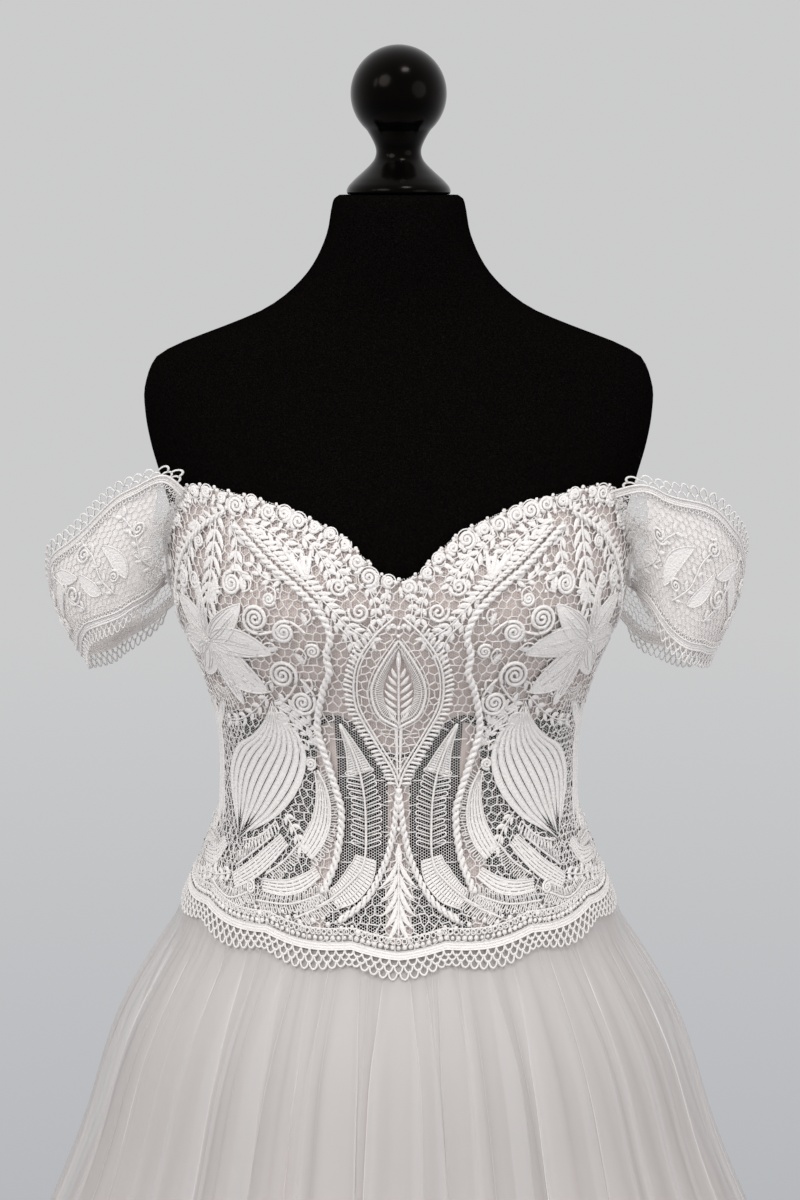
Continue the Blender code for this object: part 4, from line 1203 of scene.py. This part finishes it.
def shell(name, first, last, top, low, depth, finish, slot, columns=120, rows=60):
    """A panel of thin cloth between two heights, each a function of the angle, in place of its own solid."""
    angle = np.radians(np.linspace(first, last, columns))[None]
    share = np.linspace(0, 1, rows)[:, None]
    high, deep = top(angle), low(angle)
    z = deep + (high - deep) * share
    angle = np.broadcast_to(angle, z.shape)
    points = on_rings(BODICE, angle, z, -depth).reshape(-1, 3)
    flat = np.stack([cloth_x(angle, z) * 1000, z * 1000, 0 * z], -1).reshape(-1, 3)
    return piece(name, points, grid_faces(rows, columns), finish, [name], cloth=flat)


def neck_top(angle):
    return edge(NECKLINE, angle)


def join_low(angle):
    return edge(JOIN, angle)


def cup_line(angle):
    share = curve(*zip(*CUP_EDGE), np.abs(np.degrees(angle)))
    return neck_top(angle) * (1 - share) + join_low(angle) * share


def between_edges(angle, z):
    """True from the trim's top up to the neckline, with what the lace laps over each."""
    return (z < neck_top(angle) + LAP_ABOVE) & (z > trim_top(angle) - LAP_BELOW)


def inside_front(points):
    x, z = points[:, 0] / 1000, points[:, 1] / 1000
    angle = angle_at(x, z)
    return (np.abs(angle) < math.radians(FRONT_END)) & between_edges(angle, z)


def inside_back(points):
    x, z = points[:, 0], points[:, 1] / 1000
    sign = np.where(x >= 0, -1, 1)
    angle = angle_at(sign * (half_round(z) - np.abs(x) / 1000), z)
    return (np.abs(angle) > math.radians(BACK_START)) & between_edges(angle, z)


def border_row(cloth, path, pitch=5.2, radius=1.7):
    """A row of little rings along a path."""
    for x, y in through(path, int(length_of(path) / pitch)):
        turn = np.linspace(0, 2 * math.pi, 9)
        ring = np.stack([x + radius * np.cos(turn), y + radius * np.sin(turn)], -1)
        cloth.tube(ring, 0.55, sides=4, height=0.7, taper=False)


half, half_centre = Cloth(), Cloth()
upper_motifs(half)
lower_motifs(half)
centre_motifs(half_centre)
front, cords = Cloth(), Cloth()
for whole, part in ((front, half), (cords, half_centre)):
    whole.extend(part)
    whole.extend(part, mirror=True)
middle_motifs(cords)
neckline_trim(cords, neckline_path(-89, 89, 700))
dense = Cloth()
net_cells(dense, low_side_zone, (-300, 990, 300, 1170), 4.6, 0.46, seed=9, jitter=0.22)
ground = Cloth()
net_cells(ground, front_zone, (-300, 990, 300, 1330), 7.0, 0.62, seed=3, jitter=0.17)
lace_front = lay("bodice_lace_front", front, lay_on_bodice, inside_front, stands_for=["bodice_lace_front"])
cords_front = lay("bodice_cords_front", cords, lay_on_bodice, inside_front)
ground_front = lay("bodice_ground_front", ground, lay_on_bodice, inside_front)
dense_front = lay("bodice_filling_front", dense, lay_on_bodice, inside_front)
hem_front = lay("hem_trim_front", hem_trim(-89.8, 89.8), lay_on_bodice, stands_for=["hem_trim_front"])


BACK_ROPE = [(30, 1262), (38, 1210), (30, 1150), (24, 1100), (30, 1060), (40, 1030)]
BACK_SHIFT = (262, -16)


def back_panel(side):
    """The lace, ground and hem trim of a back panel. The left one lies at x above 0 on the back cloth."""
    hand = 1 if side == "left" else -1
    name = f"bodice_lace_back_{side}"
    cloth, ground, motifs = Cloth(), Cloth(), Cloth()
    lower_motifs(motifs)
    cloth.extend(motifs, mirror=True, shift=BACK_SHIFT)
    rope(cloth, BACK_ROPE, radius=1.5, pitch=15, offset=1.5)
    leafy(cloth, [(16, 1250), (19, 1200), (17, 1150), (15, 1100), (17, 1050)], 11, 13, 4.6)
    border_row(cloth, [(5, z) for z in (1256, 1180, 1100, 1026)], pitch=4.4, radius=1.5)
    start, end = (-90.3, -179.7) if side == "left" else (90.3, 179.7)
    line = flat_line(neck_top, start, end, 300, back=True)
    neckline_trim(cloth, np.abs(line) if hand < 0 else line, hand=1)
    zone = lambda points: (points[:, 0] > 2.5) & inside_back(np.column_stack([points, 0 * points[:, 0]]))
    net_cells(ground, zone, (0, 990, 300, 1300), 8.4, 0.42, seed=5)
    both = []
    for part, label, stands in ((cloth, name, [name]), (ground, f"bodice_ground_back_{side}", [])):
        final = Cloth()
        final.extend(part, mirror=hand < 0)
        limit = lambda points: inside_back(points) & (points[:, 0] * hand > 0.2)
        both.append(lay(label, final, lay_on_back, limit, stands_for=stands))
    trim, label = hem_trim(start, end, back=True), f"hem_trim_back_{side}"
    both.append(lay(label, trim, lay_on_back, stands_for=[label], flip=hand < 0))
    return both


backs = {side: back_panel(side) for side in ("left", "right")}
NUDE_WALL = (NUDE_DEPTH, SKIN, "nude_lining")
NET_WALL = (neck_top, join_low, NET_DEPTH, NET, "net")
net_front = shell("bodice_net_front", -FRONT_END, FRONT_END, *NET_WALL, 160, 40)
nets = {
    side: shell(f"bodice_net_back_{side}", *ends, *NET_WALL)
    for side, ends in (("left", (-179.8, -BACK_START)), ("right", (BACK_START, 179.8)))
}
cups = {
    side: shell(f"cup_lining_{side}", *ends, lambda a: neck_top(a) - 0.002, cup_line, *NUDE_WALL, 90, 40)
    for side, ends in (("left", (-89.6, -0.01)), ("right", (0.01, 89.6)))
}
for side, middle in BONING.items():
    ends = middle - BONING_HALF, middle + BONING_HALF
    boning_top = lambda a: cup_line(a) - CUP_EDGE_GAP
    shell(f"boning_{side}", *ends, boning_top, join_low, *NUDE_WALL, 12, 40)

# ---------------------------------------------------------------- sleeves

SLEEVE_LINING_ENDS, LOOP_REACH = (0.125, 0.875), 11.0


def sleeve(side):
    """Lace, ground and lining of a sleeve. On its flat cloth x runs round it from the front seam, y up it."""
    place = sleeve_place(side)
    u = np.linspace(0, 1, 201)
    middle = place(u, np.full(201, 0.5))
    run = np.concatenate([[0], np.cumsum(np.linalg.norm(np.diff(middle, axis=0), axis=1))]) * 1000
    tall = np.linalg.norm(place(u, np.zeros(201)) - place(u, np.ones(201)), axis=1) * 1000
    flip = side == "left"

    def lay_on_sleeve(flat):
        at = np.interp(flat[:, 0], run, u)
        down = 1 - flat[:, 1] / np.interp(at, u, tall)
        out = normals(place, at, down, 0.004, 0.01)
        if not flip:
            out = -out
        body = place(at, down)
        away = body - np.array([-SLEEVE_MIDDLE if flip else SLEEVE_MIDDLE, 0, 0])
        away[:, 2] = 0
        out = out * np.sign((out * away).sum(1))[:, None]
        return body + out * flat[:, 2:3] / 1000

    long = run[-1]
    line = lambda height: np.stack([run, height], -1)
    cloth, ground = Cloth(), Cloth()
    for top_edge in (True, False):
        outer = tall + 6.0 if top_edge else np.full(201, -8.0)
        sign = -1 if top_edge else 1
        wave = 2.5 - 2.5 * np.abs(np.cos(math.pi * run / 62.0))
        root = line(outer + sign * (LOOP_REACH + wave))
        inner = line(outer + sign * (LOOP_REACH + 5.0 + wave))
        path = through(root[10:-10], 280)
        from_seam = np.minimum(np.arange(280), np.arange(280)[::-1])
        reach = LOOP_REACH * (0.55 + 0.45 * np.clip(from_seam / 45, 0, 1))
        scale_loops(cloth, path, reach, pitch=7.2, thread=0.75, hand=1 if top_edge else -1, height=0.9)
        v = np.linspace(0, 1, 11)
        rows = np.empty((101, 11, 3))
        rows[..., :2] = root[::2, None] * (1 - v)[:, None] + inner[::2, None] * v[:, None]
        rows[..., 2] = 0.3 + 0.9 * (0.5 + 0.5 * np.cos(2 * math.pi * 3 * v))
        cloth.grid(rows if top_edge else rows[:, ::-1])
        cloth.tube(root[::3], 0.8, height=1.2)
        cloth.tube(inner[::3], 0.7, height=1.2)
        fringe_line = line(outer + sign * (LOOP_REACH + 7.2 + wave))
        border_row(cloth, fringe_line[4:-4], pitch=4.6, radius=1.6)
    y = lambda x, share: share * np.interp(x, run, tall)
    for k, (share_x, share_y, radius) in enumerate(SLEEVE_SPIRALS):
        x = share_x * long
        spiral(cloth, (x, y(x, share_y)), radius, 60 * k, turns=2.0, hand=1 if k % 2 else -1, cord=1.1)
    for x0, y0, x1, y1, width, bend in SLEEVE_LEAVES:
        a, b = (x0 * long, y(x0 * long, y0)), (x1 * long, y(x1 * long, y1))
        leaf(cloth, a, b, width * 1.3, bend=bend, rise=0.45, groove=0.4, outline=0.6)
    for k in range(7):
        x = (0.08 + 0.13 * k) * long
        stem = [(x - 12, y(x, 0.24)), (x + 2, y(x, 0.40)), (x + 8, y(x, 0.58)), (x + 20, y(x, 0.74))]
        leafy(cloth, stem, 5, 8, 3.6, tilt=0.8)

    def inside(p):
        clear_of_seams = (p[:, 0] > 2) & (p[:, 0] < long - 2)
        return clear_of_seams & (p[:, 1] > 8) & (p[:, 1] < np.interp(p[:, 0], run, tall) - 10)

    net_cells(ground, inside, (0, 0, long, tall.max()), 5.4, 0.32, seed=7)
    limit = lambda p: (p[:, 0] > 0) & (p[:, 0] < long)
    name = f"sleeve_lace_{side}"
    made = [
        lay(name, cloth, lay_on_sleeve, limit, lower=SLEEVE_IN, stands_for=[name], flip=flip),
        lay(f"sleeve_ground_{side}", ground, lay_on_sleeve, limit, lower=SLEEVE_IN, flip=flip),
    ]

    def backing(name, ends, downs, columns, rows, depth, finish, slot, stands_for=()):
        """A plain sheet behind the lace, depth millimetres in from it."""
        at, down = (v.ravel() for v in np.meshgrid(np.linspace(*ends, columns), np.linspace(*downs, rows)))
        up = (1 - down) * np.interp(at, u, tall)
        flat = np.stack([np.interp(at, u, run), up, np.full(at.size, -depth)], -1)
        faces = grid_faces(rows, columns)[:, :: -1 if flip else 1]
        marks = flat if finish is NET else None
        return piece(name, lay_on_sleeve(flat), faces, finish, stands_for, cloth=marks)

    name = f"sleeve_lining_{side}"
    lined = (SLEEVE_LINING_ENDS, (0.97, 0.06), 90, 40, 1.3)
    lining = backing(name, *lined, SLEEVE_LINING, "nude_lining", [name])
    net = backing(f"sleeve_net_{side}", (0.01, 0.99), (0.95, 0.08), 110, 30, 2.2, NET, "net")
    return made, lining, net


SLEEVE_SPIRALS = [
    # share round, share up, radius in mm
    (0.10, 0.62, 7.5), (0.17, 0.36, 6.0), (0.27, 0.70, 8.0), (0.33, 0.42, 9.5), (0.45, 0.30, 7.0),
    (0.47, 0.66, 8.5),
    (0.58, 0.46, 8.0), (0.68, 0.68, 7.0), (0.72, 0.34, 7.5), (0.84, 0.56, 7.0), (0.92, 0.40, 6.0),
]
SLEEVE_LEAVES = [
    # from (share round, share up) to (share round, share up), width in mm, bend
    (0.13, 0.30, 0.21, 0.66, 9, 0.20), (0.22, 0.28, 0.29, 0.56, 8, -0.20), (0.36, 0.62, 0.43, 0.36, 10, 0.15),
    (0.38, 0.74, 0.30, 0.54, 8, 0.2), (0.50, 0.28, 0.55, 0.60, 9, -0.15), (0.52, 0.74, 0.62, 0.66, 9, 0.25),
    (0.62, 0.30, 0.67, 0.56, 9, 0.15), (0.76, 0.72, 0.80, 0.44, 8, -0.20), (0.86, 0.30, 0.88, 0.60, 7, 0.15),
    (0.05, 0.35, 0.11, 0.45, 7, 0.2),
]
sleeves = {side: sleeve(side) for side in ("left", "right")}

# ---------------------------------------------------------------- turned pieces


def turned(name, profile, finish, slot, stands_for, sides):
    """A solid turned about the pole's axis. profile is (z, radius) from its foot to its top."""
    profile = np.array([(profile[0][0], 0.0002), *profile, (profile[-1][0], 0.0002)])
    angle = np.linspace(0, 2 * math.pi, sides + 1)[:-1]
    z, radius = profile[:, 0:1], profile[:, 1:2]
    points = np.stack([radius * np.sin(angle), -radius * np.cos(angle), z + 0 * angle], -1)
    faces = grid_faces(len(profile), sides, closed=True)
    return piece(name, points.reshape(-1, 3), faces, finish, [stands_for])


FOOT = [
    (1.5333, 0.0374), (1.5340, 0.0383), (1.5358, 0.0387), (1.5378, 0.0381), (1.5400, 0.0368),
    (1.5425, 0.0345),
    (1.5450, 0.0320), (1.5490, 0.0275), (1.5530, 0.0232), (1.5560, 0.0203), (1.5590, 0.0181),
    (1.5620, 0.0170),
    (1.5645, 0.0167), (1.5675, 0.0171), (1.5710, 0.0184), (1.5755, 0.0207), (1.5795, 0.0231),
]
KNOB_CENTRE, KNOB_RADIUS = 1.6070, 0.0356
ball = [
    (KNOB_CENTRE + KNOB_RADIUS * math.cos(a), KNOB_RADIUS * math.sin(a))
    for a in np.radians(np.linspace(137, 1.5, 44))
]
turned("form_knob", [*through(FOOT, 48), *ball], LACQUER, "black_lacquer", "form_finial", 96)
BASE_THICKNESS, POLE_RADIUS, FORM_BOTTOM = 0.006, 0.0125, 0.850
turned(
    "form_base",
    [(0, 0.168), (0.0004, 0.1692), (0.0012, 0.170), (0.0042, 0.170), (0.0052, 0.1695), (0.006, 0.168)],
    METAL, "black_metal", "form_base", 128,
)
pole = [(BASE_THICKNESS, POLE_RADIUS), (FORM_BOTTOM, POLE_RADIUS)]
turned("form_pole", pole, METAL, "black_metal", "form_pole", 64)

FORM_SIDES, NECK_ROUNDING = 120, 0.006
CAP_SHRINK = [0.001, 0.001, 1]
below_neck = np.linspace(FORM[0][0], NECK_TOP - NECK_ROUNDING, 120)
neck_round = NECK_TOP - NECK_ROUNDING * np.cos(np.linspace(0, math.pi / 2, 8))
form_z = np.unique(np.concatenate([below_neck, neck_round]))
form_angle = np.linspace(-math.pi, math.pi, FORM_SIDES + 1)[:-1]
form_rows = on_rings(FORM, *np.broadcast_arrays(form_angle[None], form_z[:, None]))
cap_low, cap_high = form_rows[:1] * CAP_SHRINK, form_rows[-1:] * CAP_SHRINK
form_rows = np.concatenate([cap_low, form_rows, cap_high])
form_faces = grid_faces(len(form_rows), FORM_SIDES, closed=True)
piece("form_torso", form_rows.reshape(-1, 3), form_faces, JERSEY, ["form_torso"])

# ---------------------------------------------------------------- buttons and their loops


BUTTON_PROFILE = [
    # share of the height, share of the radius
    (0.0, 0.62), (0.08, 0.86), (0.28, 0.98), (0.5, 0.96), (0.74, 0.80), (0.9, 0.56), (0.98, 0.28),
    (1.0, 0.02),
]


def back_button(k):
    node = f"button_{k + 1}"
    low, high = (np.array(corner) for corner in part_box(node))
    middle = (low + high) / 2
    z = np.array([middle[2]])
    out = normals(bodice_place, np.array([math.pi]), z, 0.004, 0.002)[0]
    foot = middle - out * BUTTON_HEIGHT * 0.5
    side = np.array([1.0, 0, 0])
    up = np.cross(out, side)
    angle = np.linspace(0, 2 * math.pi, 33)[:-1]
    rings = []
    for rise, radius in BUTTON_PROFILE:
        ring = BUTTON_RADIUS * radius * (np.cos(angle)[:, None] * side + np.sin(angle)[:, None] * up)
        rings.append(foot + out * BUTTON_HEIGHT * rise + ring)
    points = np.stack(rings)
    faces = grid_faces(len(rings), 32, closed=True)
    made = piece(node, points.reshape(-1, 3), faces, SATIN, [node])
    return made, middle[2] * 1000


buttons = [back_button(k) for k in range(BUTTON_COUNT)]
closing = Cloth()
for low_x, high_x in ((-7.5, -0.4), (0.4, 7.5)):
    z = np.linspace(1029, 1255, 90)
    closing.band(np.stack([0 * z + low_x, z], -1), np.stack([0 * z + high_x, z], -1), 0.5, base=0.2, across=5)
for _, z in buttons:
    turn = np.linspace(math.radians(-140), math.radians(140), 14)
    loop = np.stack([5.9 * np.cos(turn) - 1.5, z + 6.3 * np.sin(turn)], -1)
    loop = np.concatenate([[(-6.5, z - 3.2)], loop, [(-6.5, z + 3.2)]])
    closing.tube(loop, 0.7, sides=6, height=1.6)
placket = lay("back_placket", closing, lay_on_back)

# ---------------------------------------------------------------- the skirt

GORES = ("front", "side_front_right", "side_back_right", "back", "side_back_left", "side_front_left")
UNDER_IN, LINING_IN = 0.0115, 0.0170
SKIRT_TOP_DROP = 0.0010
SKIRT_FULLER, FULLEST, FULL_SPREAD, SKIRT_HIGH = 0.012, 0.905, 0.065, 1.035


def skirt_angle(angle, z, fold_list, seed):
    """Sideways sway and in-and-out depth of gathered cloth, both in metres, at each point."""
    own = np.random.default_rng(seed)
    sway, depth = np.zeros(z.shape), np.zeros(z.shape)
    down = np.clip((1.03 - z) / 1.018, 0, 1)
    for count, top, low, start, end, overhang in fold_list:
        drift = sum(
            own.uniform(0.1, 0.5) * np.sin(m * angle + own.uniform(0, 6.3)) for m in (1, 2, 3, 5, 8)
        ) * 2.0
        lean = sum(own.uniform(0.2, 0.7) * np.sin(m * angle + own.uniform(0, 6.3)) for m in (2, 5, 9, 13))
        phase = count * angle + drift + lean * down * 2.2
        own_size = 0.50 + 0.50 * np.sin(own.integers(3, 9) * angle + own.uniform(0, 6.3)) * np.sin(
            own.integers(9, 17) * angle + own.uniform(0, 6.3) + 4.0 * down
        )
        bell = np.clip((down - start) / 0.06, 0, 1) * np.clip((end - down) / max(0.25 * end, 0.05), 0, 1)
        size = (top + (low - top) * down) * bell * own_size
        depth += size * np.cos(phase)
        sway += size * overhang * np.sin(phase)
    return sway, depth


OUTER_FOLDS = [
    # folds in a turn, depth at the top, depth at the hem, where they start and end, sideways sway as a share
    (19, 0.0005, 0.0085, 0.00, 2.0, 1.8), (34, 0.0009, 0.0095, 0.00, 2.0, 4.0),
    (57, 0.0011, 0.0056, 0.00, 2.0, 5.2),
    (93, 0.0008, 0.0020, 0.00, 1.6, 5.6), (160, 0.0005, 0.0004, 0.00, 0.60, 4.5),
]
UNDER_FOLDS = [
    (13, 0.0005, 0.0045, 0.0, 2.0, 1.4), (29, 0.0008, 0.0042, 0.0, 2.0, 4.4),
    (51, 0.0007, 0.0018, 0.0, 1.8, 6.0),
]
LINING_FOLDS = [(9, 0.0, 0.0030, 0.0, 2.0, 1.0), (17, 0.0002, 0.0026, 0.0, 2.0, 1.2)]


def skirt_cloth(first, last, inset, folds, columns, rows, seed, low):
    """Points of gathered cloth from the join down, how much the cloth bunches at each point, and how far it
    turns edge-on there, where the tulle gets a painted highlight.
    """
    angle = np.radians(np.linspace(first, last, columns))[None]
    share = np.linspace(0, 1, rows)[:, None] ** 1.15
    top = edge(JOIN, angle) - SKIRT_TOP_DROP
    z = top - (top - low) * share
    angle = np.broadcast_to(angle, z.shape)
    sway, depth = skirt_angle(angle, z, folds, seed)
    sway = sway * np.clip((SKIRT_HIGH - z) / 0.12, 0.25, 1)
    under_trim = np.clip((z - 0.960) / 0.05, 0, 1)
    base = on_rings(SKIRT, angle, z)
    radius = np.hypot(base[..., 0], base[..., 1])
    turned = angle + sway / radius
    fuller = SKIRT_FULLER * np.exp(-(((z - FULLEST) / FULL_SPREAD) ** 2)) * (1.0 if inset == 0 else 0.7)
    on_skirt = on_rings(SKIRT, turned, z, fuller + depth * (1 - 0.8 * under_trim) - inset * (1 - under_trim))
    on_top = on_rings(BODICE, turned, z, -0.0030 - 0.4 * inset + depth * 0.2)
    blend = np.clip((z - 0.962) / 0.03, 0, 1)[..., None]
    blend = blend * blend * (3 - 2 * blend)
    points = on_skirt * (1 - blend) + on_top * blend
    round_it = np.gradient(points, axis=1)
    plain = np.gradient(radius * angle, axis=1)
    stretch = np.linalg.norm(round_it, axis=-1) / np.abs(plain)
    way = unit(round_it)
    flat_way = np.stack([np.cos(angle), np.sin(angle), 0 * angle], -1)
    facing = np.abs((way * flat_way).sum(-1))
    layers = 0.80 + 0.55 * (1 / np.clip(facing, 0.25, 1) - 1) + 0.15 * np.clip(stretch - 1, 0, 2)
    crowd = 1 + 1.2 * np.clip((z - 0.60) / 0.42, 0, 1) ** 1.5
    # how far the cloth turns edge-on, 0 to 1; the tulle paints a highlight there
    highlight_where_edge_on = np.clip((1 / np.clip(facing, 0.2, 1) - 1.03) / 0.7, 0, 1)
    return points.reshape(-1, 3), (layers * crowd).ravel(), highlight_where_edge_on.ravel()


def skirt_piece(name, first, last, layer, columns, rows):
    inset, folds, seed, low, finish, slot = layer
    points, thick, fold_highlight = skirt_cloth(first, last, inset, folds, columns, rows, seed, low)
    if finish is LINING:
        thick = fold_highlight = None
    faces = grid_faces(rows, columns)[:, ::-1]
    return piece(name, points, faces, finish, [name], thick=thick, fold_highlight=fold_highlight)


# how far in, folds, seed, height of the hem, material, slot
OUTER = (0.0, OUTER_FOLDS, 21, 0.013, TULLE, "tulle")
UNDER = (UNDER_IN, UNDER_FOLDS, 22, 0.015, TULLE_UNDER, "tulle")
LINED = (LINING_IN, LINING_FOLDS, 23, 0.017, LINING, "blush_lining")
tulles, linings = [], []
for k, gore in enumerate(GORES):
    first, last = 60 * k - 30.0, 60 * k + 30.0
    tulles.append(skirt_piece(f"skirt_tulle_{gore}", first, last, OUTER, 210, 56))
    linings.append(skirt_piece(f"skirt_lining_{gore}", first, last, LINED, 46, 40))
unders = [
    skirt_piece(f"skirt_underlayer_{name}", first, last, UNDER, 340, 46)
    for name, first, last in (("front", -90.0, 90.0), ("back", 90.0, 270.0))
]

# ---------------------------------------------------------------- room, light and camera

WALL_UP, WALL_DOWN = (0.600, 0.602, 0.607), (0.44, 0.455, 0.485)
FLOOR_RADIUS, FLOOR_SIDES = 1.8, 96
world = bpy.data.worlds.new("room")
bpy.context.scene.world = world
world.use_nodes = True
nodes, links = world.node_tree.nodes, world.node_tree.links
where = nodes.new("ShaderNodeTexCoord")
split = nodes.new("ShaderNodeSeparateXYZ")
links.new(where.outputs["Generated"], split.inputs["Vector"])
ramp = nodes.new("ShaderNodeMapRange")
for socket, value in (("From Min", -0.40), ("From Max", -0.16), ("To Min", 0.0), ("To Max", 1.0)):
    ramp.inputs[socket].default_value = value
links.new(split.outputs["Z"], ramp.inputs["Value"])
mix = nodes.new("ShaderNodeMix")
mix.data_type = "RGBA"
mix.inputs["A"].default_value = (*WALL_DOWN, 1)
mix.inputs["B"].default_value = (*WALL_UP, 1)
links.new(ramp.outputs["Result"], mix.inputs["Factor"])
links.new(mix.outputs["Result"], nodes["Background"].inputs["Color"])
nodes["Background"].inputs["Strength"].default_value = 1.0

turn = np.linspace(0, 2 * math.pi, FLOOR_SIDES + 1)[:-1]
rim = [(FLOOR_RADIUS * math.cos(a), FLOOR_RADIUS * math.sin(a), 0) for a in turn]
floor_mesh = bpy.data.meshes.new("floor")
floor_mesh.from_pydata(rim, [], [list(range(FLOOR_SIDES))])
floor = bpy.data.objects.new("floor", floor_mesh)
bpy.context.scene.collection.objects.link(floor)
floor_mesh.materials.append(node_material("floor", (0.62, 0.62, 0.63), 0.7)[0])


def soft_light(name, at, towards, size, power, colour):
    data = bpy.data.lights.new(name, "AREA")
    data.shape = "ELLIPSE"
    data.size, data.size_y = size
    data.energy = power
    data.color = colour
    lamp = bpy.data.objects.new(name, data)
    bpy.context.scene.collection.objects.link(lamp)
    lamp.location = at
    way = np.array(towards, float) - np.array(at, float)
    pitch, yaw = math.atan2(np.hypot(*way[:2]), -way[2]), math.atan2(-way[0], way[1])
    lamp.rotation_euler = (pitch, 0, yaw)


LAMPS = [
    # name, place, aimed at, size, watts, colour
    ("key", (-1.5, -2.0, 2.9), (0, 0, 1.15), (1.3, 1.3), 36.5, (1.0, 0.985, 0.97)),
    ("fill", (1.9, -1.6, 1.9), (0, 0, 1.1), (1.6, 1.6), 16.5, (1.0, 0.985, 0.975)),
    ("lamp_high", (0.42, -0.95, 3.10), (0, 0, 1.6), (0.46, 0.34), 11.0, (1.0, 0.98, 0.96)),
    ("lamp_side", (-1.50, -0.90, 2.30), (0, 0, 1.6), (0.30, 0.60), 2.0, (1.0, 0.98, 0.96)),
]
for lamp in LAMPS:
    soft_light(*lamp)

CAMERA_AT, CAMERA_TILT, CAMERA_LENS = (0.001, -2.10, 1.55), 8.7, 84.0
view = bpy.data.cameras.new("camera")
view.lens, view.sensor_width = CAMERA_LENS, 36.0
camera = bpy.data.objects.new("camera", view)
bpy.context.scene.collection.objects.link(camera)
camera.location = CAMERA_AT
camera.rotation_euler = (math.radians(90 - CAMERA_TILT), 0, 0)
bpy.context.scene.camera = camera
bpy.context.scene.view_settings.view_transform = "Standard"
bpy.context.scene.cycles.transparent_max_bounces = 24

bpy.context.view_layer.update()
